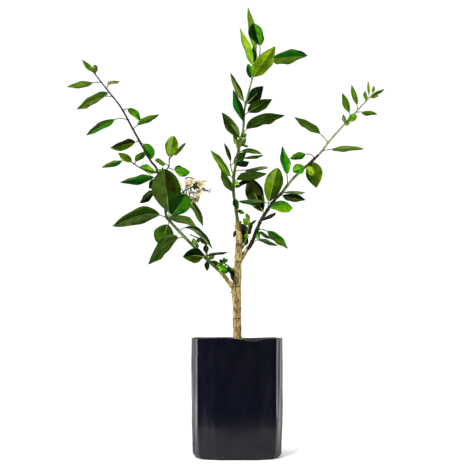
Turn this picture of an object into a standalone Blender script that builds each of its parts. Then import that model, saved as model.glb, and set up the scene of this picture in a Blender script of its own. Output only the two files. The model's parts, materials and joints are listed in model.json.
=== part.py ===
"""A young multi-grafted citrus tree in a black planter bag, standing on the bag's flat underside.

The origin is the centre of that underside, +Z is up and the front of the tree faces -Y.
Rows below are in millimetres and degrees, as a person would measure the tree from the front.
"""

import math
import random
from typing import NamedTuple

import bmesh
import bpy
from mathutils import Vector
from mathutils.bvhtree import BVHTree

MM = 0.001
GAP = 0.3  # clearance between neighbouring pieces
SMOOTH_ANGLE = 40.0  # edges sharper than this stay crisp
CURVE_STEPS = 10  # points of a centreline from one knot to the next

# Planter bag
BAG_WIDTH = 175.0
BAG_FOOT_WIDTH = 168.0
BAG_HEIGHT = 225.0
BAG_WALL = 1.5
BAG_SQUARENESS = 4.0  # exponent of the superellipse of its section: 2 is round
BAG_FOOT_ROUNDING = 11.0
BAG_FULL_WIDTH_FROM = 60.0  # height up to which the foot still widens
FOOT_STATIONS = (0.0, 1.5, 4.5, BAG_FOOT_ROUNDING, 30.0, BAG_FULL_WIDTH_FROM)
RIM_WAVE = 1.4
RIM_WAVES = ((0.6, 3, 0.7), (0.4, 7, 2.0))  # share, waves round the rim, phase
BAG_SIDES = 40

# Potting mix
SOIL_TOP = 207.0
SOIL_BUMP = 2.2
SOIL_FLAT_RADIUS = 15.0  # level ground that the trunk stands on
SOIL_RINGS = 6

# Trunk and leader: their radius at a few heights, from the root flare past the graft to the top bud
TRUNK_SIDES = 14
TRUNK_END = 5  # the leader's point, above the graft, where the trunk ends and the centre bough starts
CENTRE_BOUGH_END = 7
SIDE_BOUGH_END = 2
BOUGH_SIDES = 10
BOUGH_SPACING = 6.0
CUTTER_OVERRUN = 5.0
LEADER_RADII = (
    (207, 10.2), (216, 8.5), (232, 7.9), (275, 8.1), (312, 8.9), (352, 7.6), (378, 7.0), (403, 7.1),
    (425, 6.2), (440, 5.0), (450, 3.3), (480, 2.7), (620, 2.2), (764, 1.3),
)

# Centrelines: (x, depth, height). The leader runs on from the trunk through the centre bough.
LEADER = (
    (1, 0, 207), (0, 0, 267), (-1, 0, 310), (1, 0, 353), (4, 0, 399), (4, 0, 415),
    (1, 1, 447), (-1, 2, 462), (-6, 2, 496), (-6, -6, 529), (-1, -12, 564), (7, -14, 600),
    (12, -11, 624), (15, -4, 665), (28, 8, 718), (33, 12, 748), (40, 14, 764),
)
LEFT_LIMB = (
    (-4, 0, 315), (-29, -10, 347), (-53, -22, 370), (-95, -38, 411), (-129, -50, 448),
    (-134, -52, 460), (-139, -47, 502), (-152, -39, 544), (-165, -35, 562), (-196, -23, 617),
    (-222, -13, 664), (-245, -5, 694), (-277, 4, 735),
)
RIGHT_LIMB = (
    (3, 0, 369), (18, 7, 391), (28, 12, 405), (42, 21, 440), (50, 25, 456), (72, 34, 488),
    (88, 40, 505), (111, 48, 534), (160, 57, 580), (183, 55, 609), (223, 51, 653), (265, 41, 697),
)
LEFT_RADII = (4.3, 3.5, 2.9, 2.4, 2.0, 1.6, 1.1)
RIGHT_RADII = (4.9, 4.1, 3.4, 2.8, 2.3, 1.7, 1.1)
BOUGH_COLLAR = 1.3  # how much thicker a bough is where it leaves the trunk
COLLAR_LENGTH = 22.0
CUT_GAP = 0.6
TWIG_RADIUS = 1.7
TWIG_TIP_RADIUS = 1.0
STEM_SIDES = 8
TWIG_SIDES = 6
RING_SPACING = 9.0
END_LENGTH = 0.5  # of a stem's rounded end, as a share of its radius
END_NARROWING = 0.55
BLOSSOM_ROOT = (4, 6)  # the stretch of the left limb that the blossom's shoot springs from

# Leaves
LEAF_THICKNESS = 0.014  # of its length, at the midrib
THINNEST_LEAF = 1.1
STALK_RADIUS = 0.95
WIDTH_TO_LENGTH = 0.42
BLADE_STATIONS = (0.06, 0.2, 0.42, 0.66, 0.87)
BLADE_WIDEST = 0.8  # under 1 the blade is widest before its middle
BLADE_FULLNESS = 0.9
STALK_STATION = 0.85
STALK_HASTE = 8.0  # a long stalk takes up most of the bend
FACE_SHARE = 0.3  # where along the leaf its breadth is measured
FOLD = (4.0, 10.0)  # how far the halves of a blade rise from its midrib, degrees
TWIST = 7.0
SWING = 9.0  # how far a leaf swings in depth along its length
DEPTH_SPREAD = 1.35  # how much further a leaf turns in depth than its lean
MOST_LEAN = 54.0  # in depth, either way
ROOT_SUNK = 2.0
STEM_END_KEPT_BARE = 5.0

# Blossom
PETALS = 5
PETAL_WIDTH_TO_LENGTH = 0.4
PETAL_THICKNESS = 1.0
PETAL_SPREAD_VARIES = 9.0
BUD_WIDTH_TO_LENGTH = 0.62
PEDICEL_RADIUS = 0.9
PEDICEL_SUNK = 1.5
CUP_LENGTH = 6.5
CUP_WIDTH = 4.6
SPINDLE_STATIONS = (0.0, 0.4, 0.8)


class Leaf(NamedTuple):
    """One leaf: its place on the shoot, and its pose and size as seen from the front."""

    at: float  # share of the shoot's length
    aim: float  # direction from the shoot, anticlockwise from the right
    bend: float  # how far it arches over towards the ground
    span: float
    breadth: float
    lean: float  # how far it comes towards the front
    stalk: float = 0.15


class Bloom(NamedTuple):
    """One flower, or a bud where it isn't open: its stalk from the shoot, and its petals."""

    at: float
    aim: float
    reach: float
    lean: float
    spread: float  # angle between a petal and the flower's axis
    size: float


class Twig(NamedTuple):
    """A side shoot: where it leaves the stem, its bends after that, and what it carries."""

    at: float
    bends: tuple
    leaves: tuple


class Mass(NamedTuple):
    """One mass of leaves on its own stretch of limb, or on its own shoot."""

    name: str
    leaves: tuple
    limb: str = ""
    start: int = 0  # point of the limb's centreline where the stem starts
    end: int = 0
    shoot: tuple = ()  # a centreline of its own, for a shoot that springs from the side of a limb
    springs_from: str = ""
    twigs: tuple = ()
    blooms: tuple = ()


MASSES = (
    Mass("left_sprout_mass", shoot=((-4, -6, 350), (-11, -12, 356), (-25, -20, 367)), springs_from="trunk", leaves=(
        Leaf(0.35, 277, 10, 24, 9, 20),
        Leaf(0.70, 290, 20, 18, 8, -30),
        Leaf(0.80, 235, 30, 20, 12, 30),
        Leaf(0.93, 200, 20, 17, 9, 10),
        Leaf(1.00, 60, 0, 11, 6, -20),
        Leaf(1.00, 97, 0, 12, 6, 20),
    )),
    Mass("left_lower_mass", limb="left", start=2, end=3, leaves=(
        Leaf(0.06, 268, 20, 22, 10, 20),
        Leaf(0.05, 45, -10, 18, 11, -25),
        Leaf(0.10, 176, 42, 46, 29, 25),
        Leaf(0.17, 12, 25, 45, 6, 30),
        Leaf(0.50, 108, -20, 24, 12, 35),
    ), twigs=(
        Twig(0.08, ((-58, -16, 387), (-61, -10, 404), (-72, -6, 413), (-90, -4, 421)), (
            Leaf(0.40, 97, 30, 16, 12, -30),
            Leaf(0.50, 28, 60, 11, 8, -45),
            Leaf(0.67, 58, -30, 14, 10, 30),
            Leaf(0.78, 282, 20, 10, 7, -40),
        )),
    )),
    Mass("left_middle_mass", limb="left", start=3, end=5, leaves=(
        Leaf(0.08, 218, 55, 87, 25, 25),
        Leaf(0.33, 333, 105, 84, 10, 5),
        Leaf(0.74, 248, 5, 49, 42, -28),
        Leaf(0.82, 189, 60, 107, 29, 15),
        Leaf(0.91, 342, 45, 59, 17, -40),
        Leaf(0.80, 50, -15, 56, 36, 40),
        Leaf(0.74, 94, 0, 93, 54, 25, 0.2),
    )),
    Mass("left_blossom_mass", shoot=((-134, -52, 461), (-116, -38, 487), (-97, -33, 505), (-82, -31, 511)),
         springs_from="left_middle_mass", leaves=(
        Leaf(0.70, 300, 35, 75, 13, -20),
        Leaf(0.90, 20, 20, 28, 12, -30),
        Leaf(0.76, 39, 70, 32, 4, -15),
    ), blooms=(
        Bloom(0.62, 112, 11, 30, 72, 15),
        Bloom(0.76, 66, 9, 35, 60, 14),
        Bloom(0.72, 268, 17, 35, 76, 14),
        Bloom(1.00, 5, 12, 25, 84, 17),
        Bloom(0.80, 280, 34, 30, 0, 12),
        Bloom(0.92, 262, 19, 30, 0, 10),
        Bloom(1.00, 300, 11, 40, 0, 9),
        Bloom(0.97, 75, 13, -10, 0, 9),
        Bloom(1.00, 28, 26, -15, 0, 8),
        Bloom(1.00, 345, 29, 5, 0, 9),
    )),
    Mass("left_upper_mass", limb="left", start=5, end=8, leaves=(
        Leaf(0.35, 204, 85, 52, 13, 20, 0.35),
        Leaf(0.57, 206, 40, 28, 19, -35, 0.2),
        Leaf(0.64, 189, 8, 74, 15, 15),
        Leaf(0.75, 161, -12, 38, 15, -30),
        Leaf(0.77, 312, 40, 21, 10, 40),
    ), twigs=(
        Twig(0.27, ((-141, -40, 512), (-142, -34, 531), (-137, -30, 541), (-130, -28, 550), (-129, -27, 565)), (
            Leaf(0.55, 88, 0, 17, 3, 0, 0.4),
            Leaf(0.79, 345, -20, 45, 19, 30, 0.3),
            Leaf(0.82, 154, 40, 32, 10, -35, 0.3),
            Leaf(1.00, 49, 10, 47, 5, -30, 0.3),
            Leaf(1.00, 78, 5, 45, 25, 12, 0.1),
        )),
        Twig(0.72, ((-162, -52, 538), (-176, -60, 542), (-188, -64, 548), (-198, -66, 555)), (
            Leaf(0.88, 47, 20, 28, 12, 35, 0.2),
            Leaf(0.97, 187, 60, 62, 8, -10, 0.35),
            Leaf(1.00, 146, 10, 30, 14, 25, 0.05),
        )),
    )),
    Mass("left_tip_mass", limb="left", start=8, end=12, leaves=(
        Leaf(0.18, 306, 65, 36, 21, -25),
        Leaf(0.20, 197, 4, 55, 17, 25),
        Leaf(0.33, 27, 25, 58, 9, 15, 0.2),
        Leaf(0.43, 198, 60, 91, 10, -10, 0.3),
        Leaf(0.53, 332, 120, 43, 13, -25, 0.22),
        Leaf(0.70, 204, 45, 73, 12, 20, 0.2),
        Leaf(0.75, 192, 50, 37, 8, -35),
        Leaf(0.79, 25, 100, 33, 5, 30, 0.25),
        Leaf(0.88, 188, 8, 67, 9, 0, 0.25),
        Leaf(0.97, 87, 0, 16, 11, 45),
        Leaf(1.00, 132, 0, 34, 9, 10, 0.1),
        Leaf(0.99, 126, 12, 28, 7, -20, 0.1),
    )),
    Mass("centre_lower_mass", limb="leader", start=7, end=9, leaves=(
        Leaf(0.08, 341, 10, 18, 8, 25),
        Leaf(0.48, 289, -20, 27, 12, 20),
        Leaf(0.56, 118, -12, 50, 15, 20, 0.1),
        Leaf(0.76, 24, 20, 35, 8, -40),
        Leaf(0.90, 325, 40, 13, 8, 35),
        Leaf(0.94, 10, 15, 64, 15, 25, 0.1),
        Leaf(0.96, 126, 12, 77, 13, -15),
        Leaf(0.97, 92, 0, 22, 7, -35),
    )),
    Mass("centre_middle_mass", limb="leader", start=9, end=12, leaves=(
        Leaf(0.14, 10, 4, 66, 5, -35, 0.35),
        Leaf(0.23, 13, 20, 27, 13, 40),
        Leaf(0.32, 12, 30, 54, 4, 20, 0.3),
        Leaf(0.45, 7, 95, 54, 8, -20, 0.25),
        Leaf(0.55, 83, 0, 26, 11, 30, 0.1),
        Leaf(0.61, 56, 0, 22, 10, 35, 0.1),
        Leaf(0.64, 356, 30, 17, 4, 30, 0.2),
        Leaf(0.65, 118, -10, 27, 9, -30),
        Leaf(0.75, 124, 8, 64, 19, 10, 0.1),
        Leaf(0.80, 54, 10, 15, 11, -45, 0.1),
        Leaf(0.87, 23, 55, 91, 19, 15),
    ), twigs=(
        Twig(0.05, ((-10, -1, 544), (-13, 4, 557)), (
            Leaf(0.87, 43, 5, 42, 17, -20, 0.2),
            Leaf(1.00, 106, 32, 44, 7, 10),
        )),
    )),
    Mass("centre_upper_mass", limb="leader", start=12, end=14, leaves=(
        Leaf(0.10, 108, 0, 64, 15, 20, 0.1),
        Leaf(0.27, 27, 15, 60, 21, 20, 0.15),
        Leaf(0.48, 50, -5, 55, 25, -25, 0.1),
        Leaf(0.50, 115, 2, 70, 11, -10, 0.1),
    )),
    Mass("centre_top_mass", limb="leader", start=14, end=16, leaves=(
        Leaf(0.07, 103, 0, 34, 12, -20, 0.1),
        Leaf(0.10, 52, 0, 71, 30, 25, 0.06),
        Leaf(0.53, 109, 12, 82, 13, 5, 0.08),
        Leaf(0.64, 90, 0, 45, 9, -15, 0.1),
        Leaf(0.85, 11, 12, 105, 20, -20, 0.3),
        Leaf(1.00, 100, 6, 103, 13, 0),
        Leaf(1.00, 96, 65, 65, 25, 25, 0.38),
    )),
    Mass("right_sprout_mass", shoot=((10, 4, 394), (15, 2, 404), (18, -2, 418), (22, -5, 434), (25, -7, 446)),
         springs_from="trunk", leaves=(
        Leaf(0.20, 105, 10, 42, 24, -60, 0.25),
        Leaf(0.37, 83, 0, 11, 10, 30),
        Leaf(0.53, 54, 0, 12, 10, -35),
        Leaf(0.83, 125, 0, 19, 11, 25),
        Leaf(0.87, 34, 10, 18, 5, -20),
        Leaf(1.00, 111, 0, 20, 9, -10),
    )),
    Mass("right_lower_mass", limb="right", start=2, end=4, leaves=(
        Leaf(0.06, 350, 50, 51, 8, 20, 0.2),
        Leaf(0.37, 68, 0, 15, 9, 40),
        Leaf(0.43, 334, 20, 31, 7, 30, 0.2),
        Leaf(0.51, 329, 60, 74, 17, -10, 0.28),
        Leaf(0.78, 31, 10, 34, 8, 40),
    )),
    Mass("right_middle_mass", limb="right", start=4, end=6, leaves=(
        Leaf(0.09, 112, -5, 78, 34, -18, 0.08),
        Leaf(0.52, 177, 6, 66, 9, 12, 0.2),
        Leaf(0.26, 76, 8, 83, 35, 10, 0.2),
        Leaf(0.29, 0, 48, 48, 21, 30, 0.1),
        Leaf(0.90, 350, 4, 52, 15, -20, 0.1),
        Leaf(0.92, 1, 26, 46, 3, 35),
    )),
    Mass("right_upper_mass", limb="right", start=6, end=8, leaves=(
        Leaf(0.17, 98, 12, 75, 17, 15, 0.28),
        Leaf(0.67, 206, 10, 30, 22, 45, 0.1),
        Leaf(0.67, 311, 10, 22, 12, 50, 0.1),
        Leaf(0.84, 281, 0, 52, 34, -25, 0.04),
        Leaf(0.88, 174, 125, 55, 13, -10, 0.42),
    )),
    Mass("right_tip_mass", limb="right", start=8, end=11, leaves=(
        Leaf(0.06, 5, 20, 88, 9, -15, 0.25),
        Leaf(0.19, 144, 30, 83, 12, 10, 0.28),
        Leaf(0.50, 100, 0, 18, 8, 30),
        Leaf(0.54, 28, 10, 20, 15, 45, 0.1),
        Leaf(0.57, 250, 10, 14, 10, 20, 0.1),
        Leaf(0.61, 109, 8, 51, 11, 5, 0.2),
        Leaf(0.69, 360, 28, 47, 8, -20, 0.3),
        Leaf(0.74, 106, 8, 49, 8, 15, 0.2),
        Leaf(0.88, 87, 0, 24, 10, -30, 0.1),
        Leaf(0.94, 94, 5, 33, 4, 10, 0.2),
        Leaf(0.96, 11, 0, 19, 6, -25, 0.05),
        Leaf(0.98, 25, 0, 27, 6, 20, 0.1),
        Leaf(1.00, 75, 0, 20, 7, 0, 0.25),
    )),
)

COLOURS = {
    "pot": ((0.006, 0.007, 0.011), 0.3),
    "soil": ((0.035, 0.022, 0.013), 0.95),
    "bark": ((0.33, 0.25, 0.11), 0.85),
    "foliage": ((0.07, 0.17, 0.02), 0.45),
}


def clear_scene():
    for item in list(bpy.data.objects):
        bpy.data.objects.remove(item, do_unlink=True)
    bpy.context.scene.unit_settings.scale_length = 1.0


def material(name, look):
    made = bpy.data.materials.new(name)
    made.use_nodes = True
    shader = made.node_tree.nodes["Principled BSDF"]
    colour, roughness = COLOURS[look]
    shader.inputs["Base Color"].default_value = (*colour, 1.0)
    shader.inputs["Roughness"].default_value = roughness
    return made


def smooth(mesh):
    mesh.shade_smooth()
    mesh.set_sharp_from_angle(angle=math.radians(SMOOTH_ANGLE))


def mesh_object(name, points, faces):
    """A closed mesh from points in millimetres."""
    mesh = bpy.data.meshes.new(name)
    mesh.from_pydata([Vector(p) * MM for p in points], [], faces)
    work = bmesh.new()
    work.from_mesh(mesh)
    bmesh.ops.recalc_face_normals(work, faces=work.faces[:])
    bmesh.ops.triangulate(work, faces=work.faces[:])
    work.to_mesh(mesh)
    work.free()
    smooth(mesh)
    made = bpy.data.objects.new(name, mesh)
    bpy.context.scene.collection.objects.link(made)
    return made


def curve_points(knots):
    """A smooth centreline through the knots."""
    ends = (2 * Vector(knots[0]) - Vector(knots[1]), 2 * Vector(knots[-1]) - Vector(knots[-2]))
    all_knots = [ends[0], *map(Vector, knots), ends[1]]
    line = []
    for a, b, c, d in zip(all_knots, all_knots[1:], all_knots[2:], all_knots[3:]):
        for step in range(CURVE_STEPS):
            t = step / CURVE_STEPS
            line.append(0.5 * (2 * b + (c - a) * t + (2 * a - 5 * b + 4 * c - d) * t**2
                               + (3 * b - a - 3 * c + d) * t**3))
    line.append(Vector(knots[-1]))
    return line


def distances(line):
    run = [0.0]
    for a, b in zip(line, line[1:]):
        run.append(run[-1] + (b - a).length)
    return run


def point_at(line, distance):
    """The point at this distance along a centreline, and the direction there."""
    run = distances(line)
    distance = min(max(distance, 0.0), run[-1])
    index = max(i for i in range(len(line) - 1) if run[i] <= distance or i == 0)
    share = (distance - run[index]) / max(run[index + 1] - run[index], 1e-9)
    before = line[max(index - 1, 0)]
    after = line[min(index + 2, len(line) - 1)]
    return line[index].lerp(line[index + 1], share), (after - before).normalized()


def blend(values, share):
    """A value part of the way through an evenly spaced series."""
    place = min(max(share, 0.0), 1.0) * (len(values) - 1)
    index = min(int(place), len(values) - 2)
    return values[index] + (values[index + 1] - values[index]) * (place - index)


def radius_at_height(height):
    """The radius of the trunk and its leader, read between the heights that it is given at."""
    for (low, below), (high, above) in zip(LEADER_RADII, LEADER_RADII[1:]):
        if height <= high:
            return below + (above - below) * (height - low) / (high - low)
    return LEADER_RADII[-1][1]


def tube(name, line, start, end, radius, spacing, sides=STEM_SIDES, closes=False, more=0.0):
    """A tapering solid round a stretch of centreline. `radius` maps a distance along it to a radius."""
    rings = max(2, round((end - start) / spacing) + 1)
    stations = [start + (end - start) * i / (rings - 1) for i in range(rings)]
    sizes = [radius(station) + more for station in stations]
    if closes:
        stations.append(end + END_LENGTH * sizes[-1])
        sizes.append(END_NARROWING * sizes[-1])
    points = []
    side = Vector((1, 0, 0))
    reach = distances(line)[-1]
    for station, size in zip(stations, sizes):
        centre, along = point_at(line, station)
        centre = centre + along * max(station - reach, 0.0)
        side = (side - along * side.dot(along)).normalized()
        other = along.cross(side)
        for k in range(sides):
            turn = math.tau * k / sides
            points.append(centre + size * (math.cos(turn) * side + math.sin(turn) * other))
    faces = [[i * sides + k, i * sides + (k + 1) % sides, (i + 1) * sides + (k + 1) % sides, (i + 1) * sides + k]
             for i in range(len(stations) - 1) for k in range(sides)]
    faces += [list(range(sides)), list(range((len(stations) - 1) * sides, len(stations) * sides))]
    return mesh_object(name, points, faces)


def heading(aim, lean):
    """The direction of something that points this way as seen from the front."""
    turn, out = math.radians(aim), math.radians(lean)
    return Vector((math.cos(out) * math.cos(turn), -math.sin(out), math.cos(out) * math.sin(turn)))


def blade_width(share):
    """The outline of a citrus leaf: half of it, from the blade's foot to its tip."""
    return math.sin(math.pi * share**BLADE_WIDEST) ** BLADE_FULLNESS if 0 < share < 1 else 0.0


def full_lean(leaf):
    """How far a leaf comes out towards the front, or goes back."""
    return max(-MOST_LEAN, min(MOST_LEAN, leaf.lean * DEPTH_SPREAD))


def leaf_frame(leaf, share, swing, twist):
    """Direction, width direction and upper side of a leaf part of the way along it."""
    side = 1 if math.cos(math.radians(leaf.aim)) < 0 else -1
    haste = 1 + STALK_HASTE * leaf.stalk
    bent = 1 - (1 - share) ** haste
    aim = leaf.aim + side * leaf.bend * (bent - haste / (haste + 1))
    lean = full_lean(leaf) + swing * (share - 0.5)
    along = heading(aim, lean)
    upper = heading(aim - side * 90, 0)
    upper = (upper - along * upper.dot(along)).normalized()
    front = along.cross(upper) * side
    length = leaf.span / math.cos(math.radians(full_lean(leaf)))
    width = max(abs(leaf.breadth), WIDTH_TO_LENGTH * length)
    face = math.asin(leaf.breadth / width) + math.radians(twist) * (share - FACE_SHARE)
    normal = upper * math.cos(face) + front * math.sin(face)
    return along, along.cross(normal), normal, length, width


def leaf_mesh(name, leaf, root, rule):
    """A leaf as one closed solid: a stalk that runs into a folded blade with a thick midrib."""
    swing = rule.uniform(-SWING, SWING)
    twist = rule.uniform(-TWIST, TWIST)
    fold = math.tan(math.radians(rule.uniform(*FOLD)))
    length, width = leaf_frame(leaf, 0.5, swing, twist)[3:]
    thickness = max(THINNEST_LEAF, LEAF_THICKNESS * length)
    stations = [0.0, leaf.stalk * STALK_STATION] + [leaf.stalk + (1 - leaf.stalk) * t for t in BLADE_STATIONS] + [1.0]
    points = []
    centre = Vector(root)
    done = 0.0
    for share in stations:
        middle = leaf_frame(leaf, (done + share) / 2, swing, twist)[0]
        centre = centre + middle * length * (share - done)
        done = share
        if share == 1.0:
            points.append(centre)
            continue
        across, normal = leaf_frame(leaf, share, swing, twist)[1:3]
        half = 0.5 * width * blade_width((share - leaf.stalk) / (1 - leaf.stalk))
        half = max(half, STALK_RADIUS)
        rise = fold * (half - STALK_RADIUS)
        ridge = STALK_RADIUS + (0.5 * thickness - STALK_RADIUS) * min(1.0, 2 * share)
        points += [centre - across * half + normal * rise, centre + normal * ridge,
                   centre + across * half + normal * rise, centre - normal * ridge]
    rings = len(stations) - 1
    faces = [[i * 4 + k, i * 4 + (k + 1) % 4, (i + 1) * 4 + (k + 1) % 4, (i + 1) * 4 + k]
             for i in range(rings - 1) for k in range(4)]
    faces += [[0, 1, 2, 3]] + [[(rings - 1) * 4 + k, (rings - 1) * 4 + (k + 1) % 4, rings * 4] for k in range(4)]
    return mesh_object(name, points, faces)


def spindle(name, start, along, across, length, width, thickness, sides=4):
    """A closed pointed body, flat for a petal and round for a bud."""
    normal = along.cross(across)
    points = []
    for share in SPINDLE_STATIONS:
        swell = max(0.3, math.sin(math.pi * (0.12 + 0.8 * share)))
        for k in range(sides):
            turn = math.tau * k / sides
            points.append(start + along * length * share + across * 0.5 * width * swell * math.cos(turn)
                          + normal * 0.5 * thickness * swell * math.sin(turn))
    points.append(start + along * length)
    rings = len(SPINDLE_STATIONS)
    faces = [[i * sides + k, i * sides + (k + 1) % sides, (i + 1) * sides + (k + 1) % sides, (i + 1) * sides + k]
             for i in range(rings - 1) for k in range(sides)]
    faces += [list(range(sides))]
    faces += [[(rings - 1) * sides + k, (rings - 1) * sides + (k + 1) % sides, rings * sides] for k in range(sides)]
    return mesh_object(name, points, faces)


def bloom_meshes(name, bloom, root, rule):
    """A flower's stalk, its green cup and its petals, or a bud on its stalk."""
    axis = heading(bloom.aim, bloom.lean)
    centre = root + axis * bloom.reach
    stalk = tube(name + "_stalk", [root, centre], 0, bloom.reach, lambda _: PEDICEL_RADIUS, bloom.reach, 6)
    side = axis.orthogonal().normalized()
    other = axis.cross(side)
    foot = centre - axis * PEDICEL_SUNK
    if bloom.spread == 0:
        width = bloom.size * BUD_WIDTH_TO_LENGTH
        return [stalk, spindle(name + "_bud", foot, axis, side, bloom.size, width, width, sides=6)]
    pieces = [stalk, spindle(name + "_cup", foot, axis, side, CUP_LENGTH, CUP_WIDTH, CUP_WIDTH, sides=6)]
    phase = rule.uniform(0, math.tau)
    for k in range(PETALS):
        turn = phase + math.tau * k / PETALS
        out = side * math.cos(turn) + other * math.sin(turn)
        angle = math.radians(bloom.spread + rule.uniform(-PETAL_SPREAD_VARIES, PETAL_SPREAD_VARIES))
        along = axis * math.cos(angle) + out * math.sin(angle)
        across = along.cross(axis).normalized()
        pieces.append(spindle(f"{name}_petal_{k}", centre, along, across, bloom.size,
                              bloom.size * PETAL_WIDTH_TO_LENGTH, PETAL_THICKNESS))
    return pieces


def apply_modifiers(thing):
    bpy.context.view_layer.update()
    graph = bpy.context.evaluated_depsgraph_get()
    made = bpy.data.meshes.new_from_object(thing.evaluated_get(graph))
    thing.modifiers.clear()
    thing.data = made
    smooth(made)


def fuse(name, pieces):
    """The pieces as one solid."""
    body, rest = pieces[0], pieces[1:]
    body.name = name
    body.data.name = name
    if not rest:
        return body
    group = bpy.data.collections.new(name + "_pieces")
    bpy.context.scene.collection.children.link(group)
    for piece in rest:
        bpy.context.scene.collection.objects.unlink(piece)
        group.objects.link(piece)
    join = body.modifiers.new("join", "BOOLEAN")
    join.operation = "UNION"
    join.operand_type = "COLLECTION"
    join.collection = group
    join.solver = "EXACT"
    apply_modifiers(body)
    for piece in rest:
        bpy.data.objects.remove(piece, do_unlink=True)
    bpy.data.collections.remove(group)
    return body


def cut_clear(thing, cutter):
    """Takes a slightly larger copy of a neighbour out of a piece that springs from its side."""
    cut = thing.modifiers.new("cut", "BOOLEAN")
    cut.operation = "DIFFERENCE"
    cut.object = cutter
    cut.solver = "EXACT"
    apply_modifiers(thing)


def bag_ring(height, half, wave=0.0):
    """Points round the bag's softly squared section."""
    ring = []
    for k in range(BAG_SIDES):
        turn = math.tau * k / BAG_SIDES
        c, s = math.cos(turn), math.sin(turn)
        reach = half / (abs(c) ** BAG_SQUARENESS + abs(s) ** BAG_SQUARENESS) ** (1 / BAG_SQUARENESS)
        lift = wave * sum(part * math.sin(waves * turn + phase) for part, waves, phase in RIM_WAVES)
        ring.append((reach * c, reach * s, height + lift))
    return ring


def bag_half(height):
    """Half of the bag's outer width at a height: it widens upwards and its foot is rounded."""
    half = 0.5 * (BAG_FOOT_WIDTH + (BAG_WIDTH - BAG_FOOT_WIDTH) * min(1.0, height / BAG_FULL_WIDTH_FROM))
    short = max(0.0, BAG_FOOT_ROUNDING - height)
    return half - BAG_FOOT_ROUNDING + math.sqrt(BAG_FOOT_ROUNDING**2 - short**2)


def skin(name, rings):
    """A closed solid from rings of points, with a flat face at each end."""
    count = len(rings[0])
    points = [point for ring in rings for point in ring]
    faces = [[i * count + k, i * count + (k + 1) % count, (i + 1) * count + (k + 1) % count, (i + 1) * count + k]
             for i in range(len(rings) - 1) for k in range(count)]
    last = (len(rings) - 1) * count
    faces += [list(range(count)), list(range(last, last + count))]
    return mesh_object(name, points, faces)


def build_bag():
    rings = [bag_ring(z, bag_half(z)) for z in FOOT_STATIONS]
    rings.append(bag_ring(BAG_HEIGHT, bag_half(BAG_HEIGHT), RIM_WAVE))
    rings.append(bag_ring(BAG_HEIGHT, bag_half(BAG_HEIGHT) - BAG_WALL, RIM_WAVE))
    rings += [bag_ring(max(z, BAG_WALL), bag_half(z) - BAG_WALL) for z in reversed(FOOT_STATIONS)]
    return skin("pot", rings)


def build_soil():
    """The potting mix: it fills the bag, and its top is uneven except where the trunk stands."""
    rule = random.Random("soil")
    inset = BAG_WALL + 2 * GAP
    floor = BAG_WALL + GAP
    rings = [bag_ring(max(z, floor), bag_half(z) - inset) for z in FOOT_STATIONS]
    edge = bag_half(SOIL_TOP) - inset
    for k in range(SOIL_RINGS):
        share = k / (SOIL_RINGS - 1)
        half = edge + (SOIL_FLAT_RADIUS - edge) * share
        bump = SOIL_BUMP if 0 < k < SOIL_RINGS - 2 else 0.0
        rings.append([(x, y, z + bump * rule.uniform(-1, 1)) for x, y, z in bag_ring(SOIL_TOP, half)])
    return skin("soil", rings)


class Shoot(NamedTuple):
    """A stretch of stem with what grows on it."""

    line: list
    start: float
    end: float
    radius: object  # maps a distance along the line to a radius
    sides: int
    runs_on: bool  # whether the limb goes on in the next mass
    leaves: tuple
    blooms: tuple


def taper(reach):
    """The radius of a side shoot of this length, by distance along it."""
    return lambda distance: blend((TWIG_RADIUS, TWIG_TIP_RADIUS), distance / reach)


def tree_of(thing, swell=0.0):
    """The piece's faces, moved out by this many millimetres, ready for a test of touch."""
    mesh = thing.data
    points = [v.co + v.normal * swell * MM for v in mesh.vertices]
    return BVHTree.FromPolygons(points, [p.vertices[:] for p in mesh.polygons])


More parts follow.
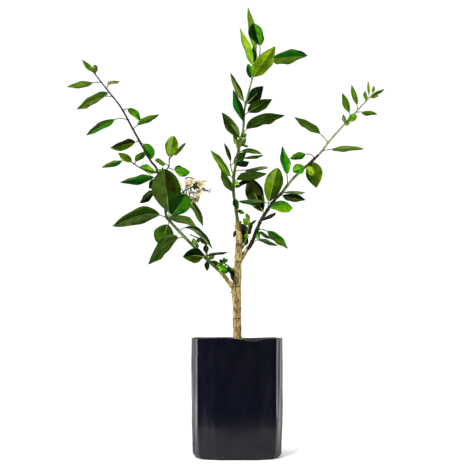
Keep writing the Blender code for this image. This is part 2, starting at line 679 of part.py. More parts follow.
class Tree:
    """The limbs' centrelines, and the pieces that are built along them."""

    def __init__(self):
        self.lines = {
            "leader": curve_points(LEADER),
            "left": curve_points(LEFT_LIMB),
            "right": curve_points(RIGHT_LIMB),
        }
        self.trees = {}
        self.shoots = {}
        self.stems = {}
        self.skipped = []

    def knot(self, limb, index):
        """How far along a limb's centreline this knot is."""
        return distances(self.lines[limb])[index * CURVE_STEPS]

    def radius(self, limb):
        line = self.lines[limb]
        if limb == "leader":
            return lambda distance: radius_at_height(point_at(line, distance)[0].z)
        radii = LEFT_RADII if limb == "left" else RIGHT_RADII
        reach = distances(line)[-1]
        return lambda distance: blend(radii, distance / reach)

    def flared(self, limb):
        """The radius of a side bough: thicker at the collar where it leaves the trunk."""
        plain = self.radius(limb)
        return lambda run: plain(run) * (1 + (BOUGH_COLLAR - 1) * max(0.0, 1 - run / COLLAR_LENGTH))

    def remember(self, thing):
        self.trees[thing.name] = tree_of(thing)

    def build_limbs(self):
        line = self.lines["leader"]
        size = self.radius("leader")
        top = self.knot("leader", TRUNK_END)
        trunk = tube("trunk", line, 2 * GAP, top, size, RING_SPACING, TRUNK_SIDES)
        self.trunk_cutter = tube("trunk_cutter", line, -CUTTER_OVERRUN, top + CUTTER_OVERRUN, size, RING_SPACING,
                                 TRUNK_SIDES, more=CUT_GAP)
        end = self.knot("leader", CENTRE_BOUGH_END)
        boughs = [tube("centre_bough", line, top + GAP, end, size, BOUGH_SPACING, BOUGH_SIDES)]
        for limb in ("left", "right"):
            bough = tube(limb + "_bough", self.lines[limb], 0, self.knot(limb, SIDE_BOUGH_END), self.flared(limb),
                         BOUGH_SPACING, BOUGH_SIDES)
            cut_clear(bough, self.trunk_cutter)
            boughs.append(bough)
        for piece in (trunk, *boughs):
            self.remember(piece)
        return [trunk, *boughs]

    def shoots_of(self, mass):
        """The stem of a mass and its twigs: for each one its centreline, ends, radius and what it carries."""
        if mass.limb:
            line = self.lines[mass.limb]
            start = self.knot(mass.limb, mass.start) + GAP
            end = self.knot(mass.limb, mass.end)
            size = self.radius(mass.limb)
        else:
            line = curve_points(mass.shoot)
            start, end = 0.0, distances(line)[-1]
            size = taper(end)
        runs_on = bool(mass.limb) and mass.end * CURVE_STEPS < len(line) - 1
        shoots = [Shoot(line, start, end, size, STEM_SIDES, runs_on, mass.leaves, mass.blooms)]
        for twig in mass.twigs:
            root = point_at(line, start + (end - start) * twig.at)[0]
            side_line = curve_points((root, *twig.bends))
            reach = distances(side_line)[-1]
            shoots.append(Shoot(side_line, 0.0, reach, taper(reach), TWIG_SIDES, False, twig.leaves, ()))
        return shoots

    def build_stems(self, mass):
        """The bare stem and twigs of a mass, which every other mass keeps clear of."""
        self.shoots[mass.name] = self.shoots_of(mass)
        self.stems[mass.name] = []
        for k, shoot in enumerate(self.shoots[mass.name]):
            stem = tube(f"{mass.name}_stem_{k}", shoot.line, shoot.start, shoot.end, shoot.radius, RING_SPACING,
                        shoot.sides, closes=not shoot.runs_on)
            self.remember(stem)
            self.stems[mass.name].append(stem)

    def grow(self, name, shoot, rule):
        """The leaves and flowers of one shoot, each rooted on its centreline."""
        own_stems = {stem.name for stem in self.stems[name]}
        length = shoot.end - shoot.start
        last = shoot.end - (STEM_END_KEPT_BARE if shoot.runs_on else ROOT_SUNK)
        pieces = []
        for leaf in shoot.leaves:
            place = min(max(shoot.start + length * leaf.at, shoot.start + ROOT_SUNK), last)
            piece = leaf_mesh(name + "_leaf", leaf, point_at(shoot.line, place)[0], rule)
            swollen = tree_of(piece, GAP)
            hit = [other for other, tree in self.trees.items() if other not in own_stems and swollen.overlap(tree)]
            if hit:
                self.skipped.append((name, leaf, hit))
                bpy.data.objects.remove(piece, do_unlink=True)
                continue
            pieces.append(piece)
        for bloom in shoot.blooms:
            place = min(shoot.start + length * bloom.at, last)
            pieces += bloom_meshes(name + "_bloom", bloom, point_at(shoot.line, place)[0], rule)
        return pieces

    def build_mass(self, mass):
        rule = random.Random(mass.name)
        pieces = list(self.stems[mass.name])
        for shoot in self.shoots[mass.name]:
            pieces += self.grow(mass.name, shoot, rule)
        whole = fuse(mass.name, pieces)
        if mass.springs_from == "trunk":
            cut_clear(whole, self.trunk_cutter)
        elif mass.springs_from:
            start, end = (self.knot("left", knot) for knot in BLOSSOM_ROOT)
            cutter = tube("limb_cutter", self.lines["left"], start, end, self.radius("left"), RING_SPACING,
                          more=CUT_GAP)
            cut_clear(whole, cutter)
            bpy.data.objects.remove(cutter, do_unlink=True)
        self.remember(whole)
        return whole


def main():
    clear_scene()
    pot = build_bag()
    soil = build_soil()
    tree = Tree()
    limbs = tree.build_limbs()
    for mass in MASSES:
        tree.build_stems(mass)
    masses = [tree.build_mass(mass) for mass in MASSES]
    bpy.data.objects.remove(tree.trunk_cutter, do_unlink=True)
    for look, things in (("pot", [pot]), ("soil", [soil]), ("bark", limbs), ("foliage", masses)):
        for thing in things:
            thing.data.materials.clear()
            thing.data.materials.append(material(thing.name, look))
    return tree


if __name__ == "__main__":
    main()
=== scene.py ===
"""The looks of a young multi-grafted citrus tree in a black planter bag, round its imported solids.

Rows are in millimetres and degrees, as in the solids' source, and the same rules place every limb, leaf and
flower.
"""

import functools
import json
import random
from collections import namedtuple
from math import asin, cos, hypot, pi, radians, sin, sqrt, tan, tau

import bpy
import numpy as np
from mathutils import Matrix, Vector

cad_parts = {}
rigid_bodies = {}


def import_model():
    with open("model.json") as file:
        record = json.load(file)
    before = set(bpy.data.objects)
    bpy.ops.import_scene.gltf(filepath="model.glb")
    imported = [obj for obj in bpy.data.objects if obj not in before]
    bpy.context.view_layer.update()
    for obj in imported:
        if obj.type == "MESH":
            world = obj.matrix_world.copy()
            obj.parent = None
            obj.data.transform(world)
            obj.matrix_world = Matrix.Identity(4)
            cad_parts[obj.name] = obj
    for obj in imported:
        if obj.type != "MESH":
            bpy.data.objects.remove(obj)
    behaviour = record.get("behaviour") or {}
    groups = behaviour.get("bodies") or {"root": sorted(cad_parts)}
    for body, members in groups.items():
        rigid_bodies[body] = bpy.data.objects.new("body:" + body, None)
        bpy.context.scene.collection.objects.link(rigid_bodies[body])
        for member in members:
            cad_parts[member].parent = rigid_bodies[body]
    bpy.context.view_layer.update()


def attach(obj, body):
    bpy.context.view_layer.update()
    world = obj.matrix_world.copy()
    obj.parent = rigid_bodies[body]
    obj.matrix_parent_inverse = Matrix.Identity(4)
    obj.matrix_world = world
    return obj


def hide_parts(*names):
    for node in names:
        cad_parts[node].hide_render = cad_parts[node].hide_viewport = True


for item in list(bpy.data.objects):
    bpy.data.objects.remove(item, do_unlink=True)
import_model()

MM = 0.001
MOST_NOISE = (0.3, 0.7)  # most values of a noise node lie between these

# The bag and its potting mix
BAG_WIDTH = 175.0
BAG_FOOT_WIDTH = 168.0
BAG_HEIGHT = 225.0
BAG_FOOT_ROUNDING = 11.0
BAG_FULL_WIDTH_FROM = 60.0
RIM_WAVE = 1.4
RIM_WAVES = ((0.6, 3, 0.7), (0.4, 7, 2.0))  # share, waves round the rim, phase
BAG_SIDES = 240
BAG_ROWS = 110
FILM_THICKNESS = 0.7
SOIL_TOP = 207.0
SOIL_INSET = 3.2
SOIL_SIDES = 180
CRUMBS = 1500
CRUMB_SIZES = (1.2, 4.6)
CLEAR_OF_TRUNK = 11.0
RIM_SLUMP = 8.0
# The dip in the front of the rim: how deep, its place across and its half width
RIM_DIP, RIM_DIP_AT, RIM_DIP_WIDTH = 4.5, 28.0, 17.0
DEEPEST_DENT = 2.0
# The bag's sides, each bent twice between its corners: slope and share of the half width
BAG_SIDE_FACETS = ((0.0219, 1.0), (0.388, 1.1673))
# Long folds in the film: place across, front or back, half width, height, how far it leans
FILM_FOLDS = (
    (-74, -1, 1.6, 1.3, 3), (74.5, -1, 2.2, 1.2, -4), (-79, -1, 1.8, -0.9, 2), (79, -1, 2, 0.9, 5),
    (-20, -1, 9, 0.5, 12), (36, -1, 7, 0.4, -9), (-74, 1, 1.8, 1.2, -3), (73, 1, 1.8, 1.2, 4),
)

# Trunk and limbs
LEADER_RADII = (
    (207, 10.2), (216, 8.5), (232, 7.9), (275, 8.1), (312, 8.9), (352, 7.6), (378, 7.0), (403, 7.1),
    (425, 6.2), (440, 5.0), (450, 3.3), (480, 2.7), (620, 2.2), (764, 1.3),
)
LEADER = (
    (1, 0, 207), (0, 0, 267), (-1, 0, 310), (1, 0, 353), (4, 0, 399), (4, 0, 415),
    (1, 1, 447), (-1, 2, 462), (-6, 2, 496), (-6, -6, 529), (-1, -12, 564), (7, -14, 600),
    (12, -11, 624), (15, -4, 665), (28, 8, 718), (33, 12, 748), (40, 14, 764),
)
LEFT_LIMB = (
    (-4, 0, 315), (-29, -10, 347), (-53, -22, 370), (-95, -38, 411), (-129, -50, 448),
    (-134, -52, 460), (-139, -47, 502), (-152, -39, 544), (-165, -35, 562), (-196, -23, 617),
    (-222, -13, 664), (-245, -5, 694), (-277, 4, 735),
)
RIGHT_LIMB = (
    (3, 0, 369), (18, 7, 391), (28, 12, 405), (42, 21, 440), (50, 25, 456), (72, 34, 488),
    (88, 40, 505), (111, 48, 534), (160, 57, 580), (183, 55, 609), (223, 51, 653), (265, 41, 697),
)
LEFT_RADII = (4.0, 3.2, 2.7, 2.3, 2.0, 1.6, 1.1)
RIGHT_RADII = (4.5, 3.3, 2.9, 2.6, 2.3, 1.7, 1.1)
BOUGH_COLLAR = 1.3
COLLAR_LENGTH = 22.0
TRUNK_END = 5
CENTRE_BOUGH_END = 7
SIDE_BOUGH_END = 2
TWIG_RADIUS = 1.7
TWIG_TIP_RADIUS = 1.0
ROOT_SUNK = 2.0
STEM_END_KEPT_BARE = 5.0
# The rings that round a stem's tip: how far past its end, and how wide, as shares of its radius
TIP_RINGS = ((0.45, 0.8), (0.75, 0.45), (0.85, 0.08))
TRUNK_FROM = -3.0  # where the trunk's bark begins, below the surface of the mix
CURVE_STEPS = 10
OVERLAP = 1.0  # how far a stretch of limb runs into the one before it
# Old leaf scars round the trunk: height, how far they stand out
NODE_RINGS = ((226, 0.5), (243, 0.7), (262, 0.6), (281, 0.5), (303, 0.5), (323, 0.9), (341, 0.7), (356, 0.9),
              (371, 0.6), (388, 0.7), (411, 0.9), (432, 0.8))
# Lumps on the trunk: x, depth, height, half width, half height, tone. The near-black ones are painted shade,
# dark shapes in the crotch and round the graft where the trunk lies in deep shadow; the others are scars
# where shoots were pruned away.
SNAGS = (
    (-7.2, -1.5, 341, 3, 8.5, "snag"), (-4.2, -2, 423, 3, 7.5, "snag"), (8.6, 0, 426, 4, 11.5, "snag"),
    (11.5, 2, 433, 3, 7, "snag"), (6, -1, 444, 2.6, 3.6, "umber"), (-2.5, -1, 437, 2.4, 4.5, "bark"),
    (4, -3.5, 430, 3.2, 5, "umber"), (11.5, 1, 384, 2.6, 5.5, "umber"), (-5.5, -2, 357, 2.8, 2.6, "bark"),
    (-9, -1, 312, 3, 4.5, "bark"),
)
ROUGH_FROM = 398.0  # the height from which the trunk's bark is rough and brown in places
# How far a stem swells at the root of a leaf, as a share of its radius, and over what length
KNOT_RISE, KNOT_LENGTH = 0.2, 2.2
# The bark that each short name in a row stands for
BARK_OF = {"moss": "mossbark", "dark": "mossbark", "fresh": "shoot", "olive": "shoot", "ink": "inkbark"}

# Leaves
WIDTH_TO_LENGTH = 0.42
BLADE_WIDEST = 0.8
BLADE_FULLNESS = 0.9
FOLD = (4.0, 10.0)
TWIST = 7.0
SWING = 9.0
DEPTH_SPREAD = 1.35
MOST_LEAN = 54.0
STALK_HASTE = 8.0
FACE_SHARE = 0.3
BLADE_THICKNESS = 0.5
HALF_COLUMNS = (0.08, 0.2, 0.34, 0.48, 0.64, 0.8, 0.93, 1.0)
COLUMNS = np.array([-place for place in HALF_COLUMNS[::-1]] + [0.0, *HALF_COLUMNS])
ROW_LENGTH = 1.9
ROWS = (14, 46)  # the fewest and the most along a blade
LINE_STEPS = 120
ARCH = (0.10, 0.2)  # how far the margins of a blade hang below the line of its fold
MARGIN_WAVE = (0.03, 0.07)
VEIN_SPACING = 6.5
VEIN_SLANT = 0.75
QUILTING = 0.5
QUILTED_FROM = 25.0  # the width of blade below which it is less quilted
WAVES = (1.2, 2.6)  # how many waves a margin has
LEAST_HALF = 0.12  # half the width of a blade at its very ends
OUTLINE_VARIES = 0.018
STALK_RINGS, RIB_RINGS, RIB_SIDES = 7, 20, 8
STALK_FOOT_SWELLS = 1.35
RIB_ENDS_AT = 0.93
RIB_SHOWS_FROM = 20.0
WAVED_FROM = 30.0  # the width of blade below which its margins wave less
# A blade that is seen on edge waves less: this many times its seen breadth over its width, up to one
EDGE_ON_CALM = 1.5
LONG_STALK = 0.2  # the share of a leaf that is stalk, above which the stalk is dark
BLUNT_SHAPE = (1.12, 0.62)  # where a blunt blade is widest, and how full its outline is
# How rough a blade is, from and to, and how much it shines: its upper side and its underside
LEAF_GLOSS, UNDER_GLOSS = ((0.46, 0.6), 0.012), ((0.55, 0.7), 0.07)
# Rows of leaf tones from dark to light, and how far along its row a part of a blade may be
SHADES = (
    ("ink", "deep", "emerald", "jade", "green", "bright", "citron", "lime"),
    ("ink", "dark", "forest", "leaf", "olive", "fresh", "spring", "pale"),
    ("dark", "forest", "moss", "dull", "grey", "pale"),
    ("deep", "dusk", "dull"),
)
SHADE_STEPS = (-1, 0, 0, 0, 1)
MARGIN_FROM = 0.6
TIP_FROM = 0.5

# Blossom
PETALS = 5
PETAL_FULL_WIDTH = 0.6
PETAL_ROLL = 0.4
PETAL_SPREAD_VARIES = 9.0
BUD_WIDTH_TO_LENGTH = 0.62
BUD_ROWS, BUD_SIDES = 11, 12
BUD_BLUSHED_FROM = 8  # the first row of its faces that is blushed
STAMENS = 18

# Camera, floor and lights
CAMERA_AT = (0.0, -2.6, 0.33)
CAMERA_AIM = (0.0, 0.0, 0.4166)
CAMERA_LENS = 102.9
LAMP_AIM = (0.0, 0.0, 0.45)
FLOOR_REACH = (0.28, 1.2, 0.9)
# The light all round: the axis it changes along, where it begins and ends to change, and its strength there.
# The strongest part counts in each direction.
WORLD_PARTS = (("Y", -0.9, -0.2, 0.14, 0.38), ("Z", 0.35, 1.0, 0.14, 1.8), ("Y", 0.0, 0.45, 0.14, 1.1))
# Lamps: name, place, width and height, power
LIGHTS = (
    ("key", (-0.9, -2.1, 1.9), (0.7, 0.7), 100.0),
    ("left", (-2.2, 0.0, 0.8), (0.9, 1.8), 26.0),
    ("right", (2.2, -0.1, 0.8), (0.7, 1.8), 16.0),
)

# One leaf: its place on the shoot, its pose and size as seen from the front, and its colours. The look names
# the tone of the whole blade, or of its upper and of its lower half, and a plus adds a pale midrib. Two tones
# on one blade are painted light and shade: one half painted lit, the other painted in shade. The stalk
# is its share of the length. A blunt leaf is full and rounded towards its tip.
Leaf = namedtuple("Leaf", "at aim bend span breadth lean look stalk blunt", defaults=(0.15, False))
# One flower, or a bud where its spread is nought
Bloom = namedtuple("Bloom", "at aim reach lean spread size")
Twig = namedtuple("Twig", "at bends leaves bark", defaults=("shoot",))
# One mass of leaves on its own stretch of limb, or on its own shoot, and the bark of its stem. Its finer
# flowers, its curled pistils and the leaves that fill it, each after its shoot's number, are added here.
# In a stem's bark, night and ink stand for near-black bark: painted shade on stretches that lie in shadow.
Mass = namedtuple("Mass", "name bark limb start end leaves shoot twigs blooms finer fill curls",
                  defaults=("", 0, 0) + 7 * ((),))

MASSES = (
    Mass("left_sprout_mass", "shoot", shoot=((-4, -6, 350), (-11, -12, 356), (-25, -20, 367)), leaves=(
        (0.35, 277, 10, 24, 9, 20, "dark ink"), (0.7, 290, 20, 18, 8, -30, "dark"),
        (0.8, 235, 30, 20, 12, 30, "bright jade"), (0.93, 200, 20, 17, 9, 10, "bright green"),
        (1.0, 60, 0, 11, 6, -20, "moss"), (1.0, 97, 0, 12, 6, 20, "jade"),
    ), fill=(
        (0, 0.85, 262, 15, 20, 10, 15, "bright green"), (0, 0.62, 250, 10, 16, 9, -15, "deep emerald"),
        (0, 0.97, 150, 10, 12, 7, 0, "jade"),
    )),
    Mass("left_lower_mass", "moss moss", "left", 2, 3, (
        (0.06, 268, 20, 22, 10, 20, "deep"), (0.05, 45, -10, 18, 11, -25, "moss"),
        (0.1, 176, 42, 46, 29, 25, "deep forest"), (0.17, 12, 25, 45, 6, 30, "moss ink"),
        (0.5, 108, -20, 24, 12, 35, "dull"),
    ), twigs=(
        Twig(0.08, ((-58, -16, 387), (-61, -10, 404), (-72, -6, 413), (-90, -4, 421)), (
            (0.4, 97, 30, 16, 12, -30, "dull forest"), (0.5, 28, 60, 11, 8, -45, "emerald", 0.15, True),
            (0.67, 58, -30, 14, 10, 30, "ink"), (0.78, 282, 20, 10, 7, -40, "leaf"),
        ), "night"),
    ), fill=(
        (1, 0.42, 130, 55, 22, 11, -20, "ink emerald"), (1, 0.5, 278, 10, 21, 11, 15, "deep emerald"),
        (0, 0.02, 336, 15, 25, 10, -20, "dull deep"),
    )),
    Mass("left_middle_mass", "sage moss", "left", 3, 5, (
        (0.08, 218, 55, 87, 25, 25, "moss leaf"), (0.33, 333, 105, 84, 10, 5, "emerald dull"),
        (0.74, 248, 5, 49, 42, -28, "leaf forest+", 0.15, True), (0.82, 189, 60, 107, 29, 15, "leaf dull"),
        (0.91, 342, 45, 59, 17, -40, "leaf fresh"), (0.8, 50, -15, 56, 36, 40, "emerald jade+", 0.15, True),
        (0.74, 94, 0, 93, 54, 25, "moss forest+", 0.2, True),
    )),
    Mass("left_blossom_mass", "shoot", leaves=(
        (0.7, 300, 35, 75, 13, -20, "fresh dark"), (0.9, 20, 20, 28, 12, -30, "moss"),
        (0.76, 39, 70, 32, 4, -15, "deep"),
    ), shoot=((-134, -52, 461), (-116, -38, 487), (-97, -33, 505), (-82, -31, 511)), blooms=(
        (0.62, 112, 11, 30, 72, 15), (0.76, 66, 9, 35, 60, 14), (0.72, 268, 17, 35, 76, 14),
        (1.0, 5, 12, 25, 84, 17), (0.8, 280, 34, 30, 0, 12), (0.92, 262, 19, 30, 0, 10),
        (1.0, 300, 11, 40, 0, 9), (0.97, 75, 13, -10, 0, 9), (1.0, 28, 26, -15, 0, 8),
        (1.0, 345, 29, 5, 0, 9),
    ), finer=(
        (0.9, 70, 15, 60, 56, 12), (0.72, 135, 16, 62, 60, 13), (0.9, 300, 18, 26, 62, 14),
        (0.92, 290, 23, 34, 68, 13), (0.9, 298, 27, 22, 0, 11), (1.0, 10, 17, 58, 64, 14),
        (1.0, 310, 20, 55, 56, 12), (0.86, 278, 46, 52, 0, 13), (0.66, 160, 12, 48, 0, 8),
        (0.84, 250, 15, 50, 0, 9),
    ), curls=(
        ((-65, -40, 508), (-60, -41, 505), (-54, -41, 503), (-50, -41, 505), (-49, -41, 508)),
        ((-73, -40, 508), (-69, -41, 503), (-68, -41, 500), (-71, -41, 499), (-74, -41, 502)),
        ((-98, -40, 524), (-95, -41, 527), (-89, -41, 528), (-83, -41, 526), (-80, -41, 522)),
        ((-89, -46, 497), (-84, -47, 500), (-79, -47, 498), (-75, -47, 494), (-74, -47, 489)),
        ((-88, -46, 491), (-83, -47, 490), (-78, -47, 487), (-75, -47, 483)),
    )),
    Mass("left_upper_mass", "moss night", "left", 5, 8, (
        (0.35, 204, 85, 52, 13, 20, "moss deep", 0.35), (0.57, 206, 40, 28, 19, -35, "emerald deep", 0.2),
        (0.64, 189, 8, 74, 15, 15, "green emerald"), (0.75, 161, -12, 38, 15, -30, "bright fresh"),
        (0.77, 312, 40, 21, 10, 40, "green"),
    ), twigs=(
        Twig(0.27, (
            (-141, -40, 512), (-142, -34, 531), (-137, -30, 541), (-130, -28, 550), (-129, -27, 565),
        ), (
            (0.55, 88, 0, 17, 3, 0, "dark", 0.4), (0.79, 345, -20, 45, 19, 30, "jade green+", 0.3),
            (0.82, 154, 40, 32, 10, -35, "fresh olive", 0.3), (1.0, 49, 10, 47, 5, -30, "olive", 0.3),
            (1.0, 78, 5, 45, 25, 12, "fresh olive+", 0.1, True),
        ), "night"),
        Twig(0.72, ((-162, -52, 538), (-176, -60, 542), (-188, -64, 548), (-198, -66, 555)), (
            (0.88, 47, 20, 28, 12, 35, "fresh olive", 0.2, True),
            (0.97, 187, 60, 62, 8, -10, "spring jade", 0.35), (1.0, 146, 10, 30, 14, 25, "olive fresh", 0.05),
        ), "night"),
    )),
    Mass("left_tip_mass", "night ink ink", "left", 8, 12, (
        (0.18, 306, 65, 36, 21, -25, "green jade", 0.15, True), (0.2, 197, 4, 55, 17, 25, "dark fresh"),
        (0.33, 27, 25, 58, 9, 15, "bright leaf", 0.2), (0.43, 198, 60, 91, 10, -10, "forest green", 0.3),
        (0.53, 332, 120, 43, 13, -25, "bright green", 0.22), (0.7, 204, 45, 73, 12, 20, "olive spring", 0.2),
        (0.75, 192, 50, 37, 8, -35, "green leaf"), (0.79, 25, 100, 33, 5, 30, "spring", 0.25),
        (0.88, 188, 8, 67, 9, 0, "bright fresh", 0.25), (0.97, 87, 0, 16, 11, 45, "spring", 0.15, True),
        (1.0, 132, 0, 34, 9, 10, "fresh", 0.1), (0.99, 126, 12, 28, 7, -20, "fresh", 0.1),
    )),
    Mass("centre_lower_mass", "umber dark dark", "leader", 7, 9, (
        (0.08, 341, 10, 18, 8, 25, "moss"), (0.48, 289, -20, 27, 12, 20, "emerald deep"),
        (0.56, 118, -12, 50, 15, 20, "moss forest", 0.1), (0.76, 24, 20, 35, 8, -40, "ink"),
        (0.9, 325, 40, 13, 8, 35, "bright"), (0.94, 10, 15, 64, 15, 25, "leaf moss", 0.1),
        (0.96, 126, 12, 77, 13, -15, "leaf fresh"), (0.97, 92, 0, 22, 7, -35, "dark"),
    )),
    Mass("centre_middle_mass", "moss moss moss", "leader", 9, 12, (
        (0.14, 10, 4, 66, 5, -35, "forest dull", 0.35), (0.23, 13, 20, 27, 13, 40, "emerald deep"),
        (0.32, 12, 30, 54, 4, 20, "forest olive", 0.3), (0.45, 7, 95, 54, 8, -20, "green", 0.25),
        (0.55, 83, 0, 26, 11, 30, "lime pale", 0.1), (0.61, 56, 0, 22, 10, 35, "pale lime", 0.1),
        (0.64, 356, 30, 17, 4, 30, "fresh", 0.2, True), (0.65, 118, -10, 27, 9, -30, "dark dull"),
        (0.75, 124, 8, 64, 19, 10, "dark moss", 0.1), (0.8, 54, 10, 15, 11, -45, "green", 0.1, True),
        (0.87, 23, 55, 91, 19, 15, "forest leaf"),
    ), twigs=(
        Twig(0.05, ((-10, -1, 544), (-13, 4, 557)), (
            (0.87, 43, 5, 42, 17, -20, "dark deep", 0.2), (1.0, 106, 32, 44, 7, 10, "dark"),
        )),
    )),
    Mass("centre_upper_mass", "moss moss fresh", "leader", 12, 14, (
        (0.1, 108, 0, 64, 15, 20, "jade deep", 0.1), (0.27, 27, 15, 60, 21, 20, "leaf forest+", 0.15),
        (0.48, 50, -5, 55, 25, -25, "deep ink", 0.1), (0.5, 115, 2, 70, 11, -10, "dark moss", 0.1),
    )),
    Mass("centre_top_mass", "fresh olive", "leader", 14, 16, (
        (0.07, 103, 0, 34, 12, -20, "jade deep", 0.1, True), (0.1, 52, 0, 71, 30, 25, "lime fresh", 0.06),
        (0.53, 109, 12, 82, 13, 5, "spring citron", 0.08), (0.64, 90, 0, 45, 9, -15, "emerald deep", 0.1),
        (0.85, 11, 12, 105, 20, -20, "jade fresh", 0.3), (1.0, 100, 6, 103, 13, 0, "olive fresh"),
        (1.0, 96, 65, 65, 25, 25, "deep green", 0.38, True),
    )),
    Mass("right_sprout_mass", "shoot", leaves=(
        # the first leaf is near-black: painted shade on a leaf that lies in shadow behind the trunk
        (0.2, 105, 10, 42, 24, -60, "snag", 0.25), (0.37, 83, 0, 11, 10, 30, "bright"),
        (0.53, 54, 0, 12, 10, -35, "dark"), (0.83, 125, 0, 19, 11, 25, "bright green"),
        (0.87, 34, 10, 18, 5, -20, "jade"), (1.0, 111, 0, 20, 9, -10, "dull"),
    ), shoot=((10, 4, 394), (15, 2, 404), (18, -2, 418), (22, -5, 434), (25, -7, 446)), fill=(
        (0, 0.12, 84, -5, 34, 13, -35, "ink", 0.05), (0, 0.55, 62, 10, 26, 12, -40, "ink deep", 0.05),
    )),
    Mass("right_lower_mass", "night night", "right", 2, 4, (
        (0.06, 350, 50, 51, 8, 20, "dull forest", 0.2), (0.37, 68, 0, 15, 9, 40, "leaf"),
        (0.43, 334, 20, 31, 7, 30, "moss leaf", 0.2), (0.51, 329, 60, 74, 17, -10, "green leaf", 0.28),
        (0.78, 31, 10, 34, 8, 40, "ink"),
    ), fill=(
        (0, 0.46, 285, 10, 20, 10, 35, "jade dull", 0.05),
    )),
    Mass("right_middle_mass", "night ink moss", "right", 4, 6, (
        (0.09, 112, -5, 78, 34, -18, "dark forest", 0.08, True), (0.52, 177, 6, 66, 9, 12, "dull moss", 0.2),
        (0.26, 76, 8, 83, 35, 10, "fresh forest+", 0.2, True),
        (0.29, 0, 48, 48, 21, 30, "green bright", 0.1, True), (0.9, 350, 4, 52, 15, -20, "deep moss", 0.1),
        (0.92, 1, 26, 46, 3, 35, "dull"),
    )),
    Mass("right_upper_mass", "sage sage night night", "right", 6, 8, (
        (0.17, 98, 12, 75, 17, 15, "emerald green", 0.28),
        (0.67, 206, 10, 30, 22, 45, "bright green", 0.1, True),
        (0.67, 311, 10, 22, 12, 50, "lime fresh", 0.1, True), (0.84, 281, 0, 52, 34, -25, "leaf olive", 0.04),
        (0.88, 174, 125, 55, 13, -10, "bright green", 0.42),
    )),
    Mass("right_tip_mass", "sage sage sage", "right", 8, 11, (
        (0.06, 5, 20, 88, 9, -15, "fresh olive", 0.25), (0.19, 144, 30, 83, 12, 10, "olive leaf", 0.28),
        (0.5, 100, 0, 18, 8, 30, "dull"), (0.54, 28, 10, 20, 15, 45, "bright spring", 0.1, True),
        (0.57, 250, 10, 14, 10, 20, "dull", 0.1), (0.61, 109, 8, 51, 11, 5, "olive leaf", 0.2),
        (0.69, 360, 28, 47, 8, -20, "fresh olive", 0.3), (0.74, 106, 8, 49, 8, 15, "olive", 0.2),
        (0.88, 87, 0, 24, 10, -30, "olive", 0.1), (0.94, 94, 5, 33, 4, 10, "olive", 0.2),
        (0.96, 11, 0, 19, 6, -25, "fresh", 0.05), (0.98, 25, 0, 27, 6, 20, "fresh olive", 0.1),
        (1.0, 75, 0, 20, 7, 0, "lime fresh", 0.25),
    )),
)


# Base colours as they look in soft daylight, from 0 to 255. Bark has a light and a dark one, and blossom has
# its
# roughness after the colour. The leaf tones are partly the leaves' own greens and partly painted light and
# shade:
# the darkest, ink and deep, are painted shade on leaves in shadow, and the lightest greens are partly painted
# light on lit blades.
LEAF_TONES = dict(
    ink=(8, 12, 4), deep=(11, 35, 4), emerald=(11, 58, 4), dark=(37, 47, 8), forest=(40, 73, 5),
    jade=(11, 98, 4), dusk=(63, 63, 58), leaf=(56, 92, 5), moss=(65, 91, 31), olive=(75, 108, 6),
    green=(59, 133, 4), dull=(85, 114, 51), fresh=(91, 129, 9), bright=(101, 156, 6), spring=(113, 146, 48),
    grey=(125, 153, 90), citron=(124, 166, 12), lime=(150, 184, 16), pale=(179, 194, 125),
    rib=(128, 150, 76), under=(92, 122, 62),
)
# The near-black night and inkbark are painted shade on stretches of limb and twig that lie in shadow, and the
# blackest tone is painted shade on lumps and a leaf where the trunk lies in deep shadow.
BARK_TONES = dict(
    bark=((176, 156, 102), (100, 82, 42)), umber=((122, 98, 52), (62, 46, 26)),
    snag=((26, 14, 10), (9, 5, 4)), night=((40, 40, 24), (18, 16, 12)), inkbark=((24, 22, 14), (10, 9, 7)),
    mossbark=((84, 98, 44), (46, 58, 24)), straw=((166, 164, 92), (92, 100, 42)),
    sage=((140, 156, 108), (92, 112, 70)), shoot=((98, 132, 52), (60, 88, 30)),
)
BLOSSOM_TONES = dict(
    petal=((216, 196, 168), 0.5), blush=((172, 116, 112), 0.5), plum=((72, 38, 44), 0.55),
    filament=((226, 220, 170), 0.5), anther=((204, 186, 78), 0.7), cup=((86, 104, 34), 0.5),
)
# The film where it is clean and where it is dusty, as shares of light. Its inner side is the same black film,
# made grey as a painted reflection of light from above.
FILM_TONES = dict(
    film=((0.0008, 0.0012, 0.005), (0.004, 0.004, 0.008)),
    film_inside=((0.05, 0.052, 0.056), (0.12, 0.12, 0.12)),
)


def linear(colour):
    """A screen colour from 0 to 255 as the light it stands for."""
    share = [c / 255 for c in colour]
    return tuple(c / 12.92 if c <= 0.04045 else ((c + 0.055) / 1.055) ** 2.4 for c in share)


def scaled(colour, share):
    return tuple(min(1.0, c * share) for c in colour)


def fill_sockets(tree, node, sockets):
    """Gives each named socket of a node its value, or links it to the output that feeds it."""
    for name, value in sockets.items():
        socket = node.inputs[name.replace("_", " ")]
        if isinstance(value, bpy.types.NodeSocket):
            tree.links.new(value, socket)
        else:
            socket.default_value = value


def add_node(tree, kind, output, **sockets):
    """Makes a node and gives back one of its outputs."""
    node = tree.nodes.new("ShaderNode" + kind)
    fill_sockets(tree, node, sockets)
    return node.outputs[output]


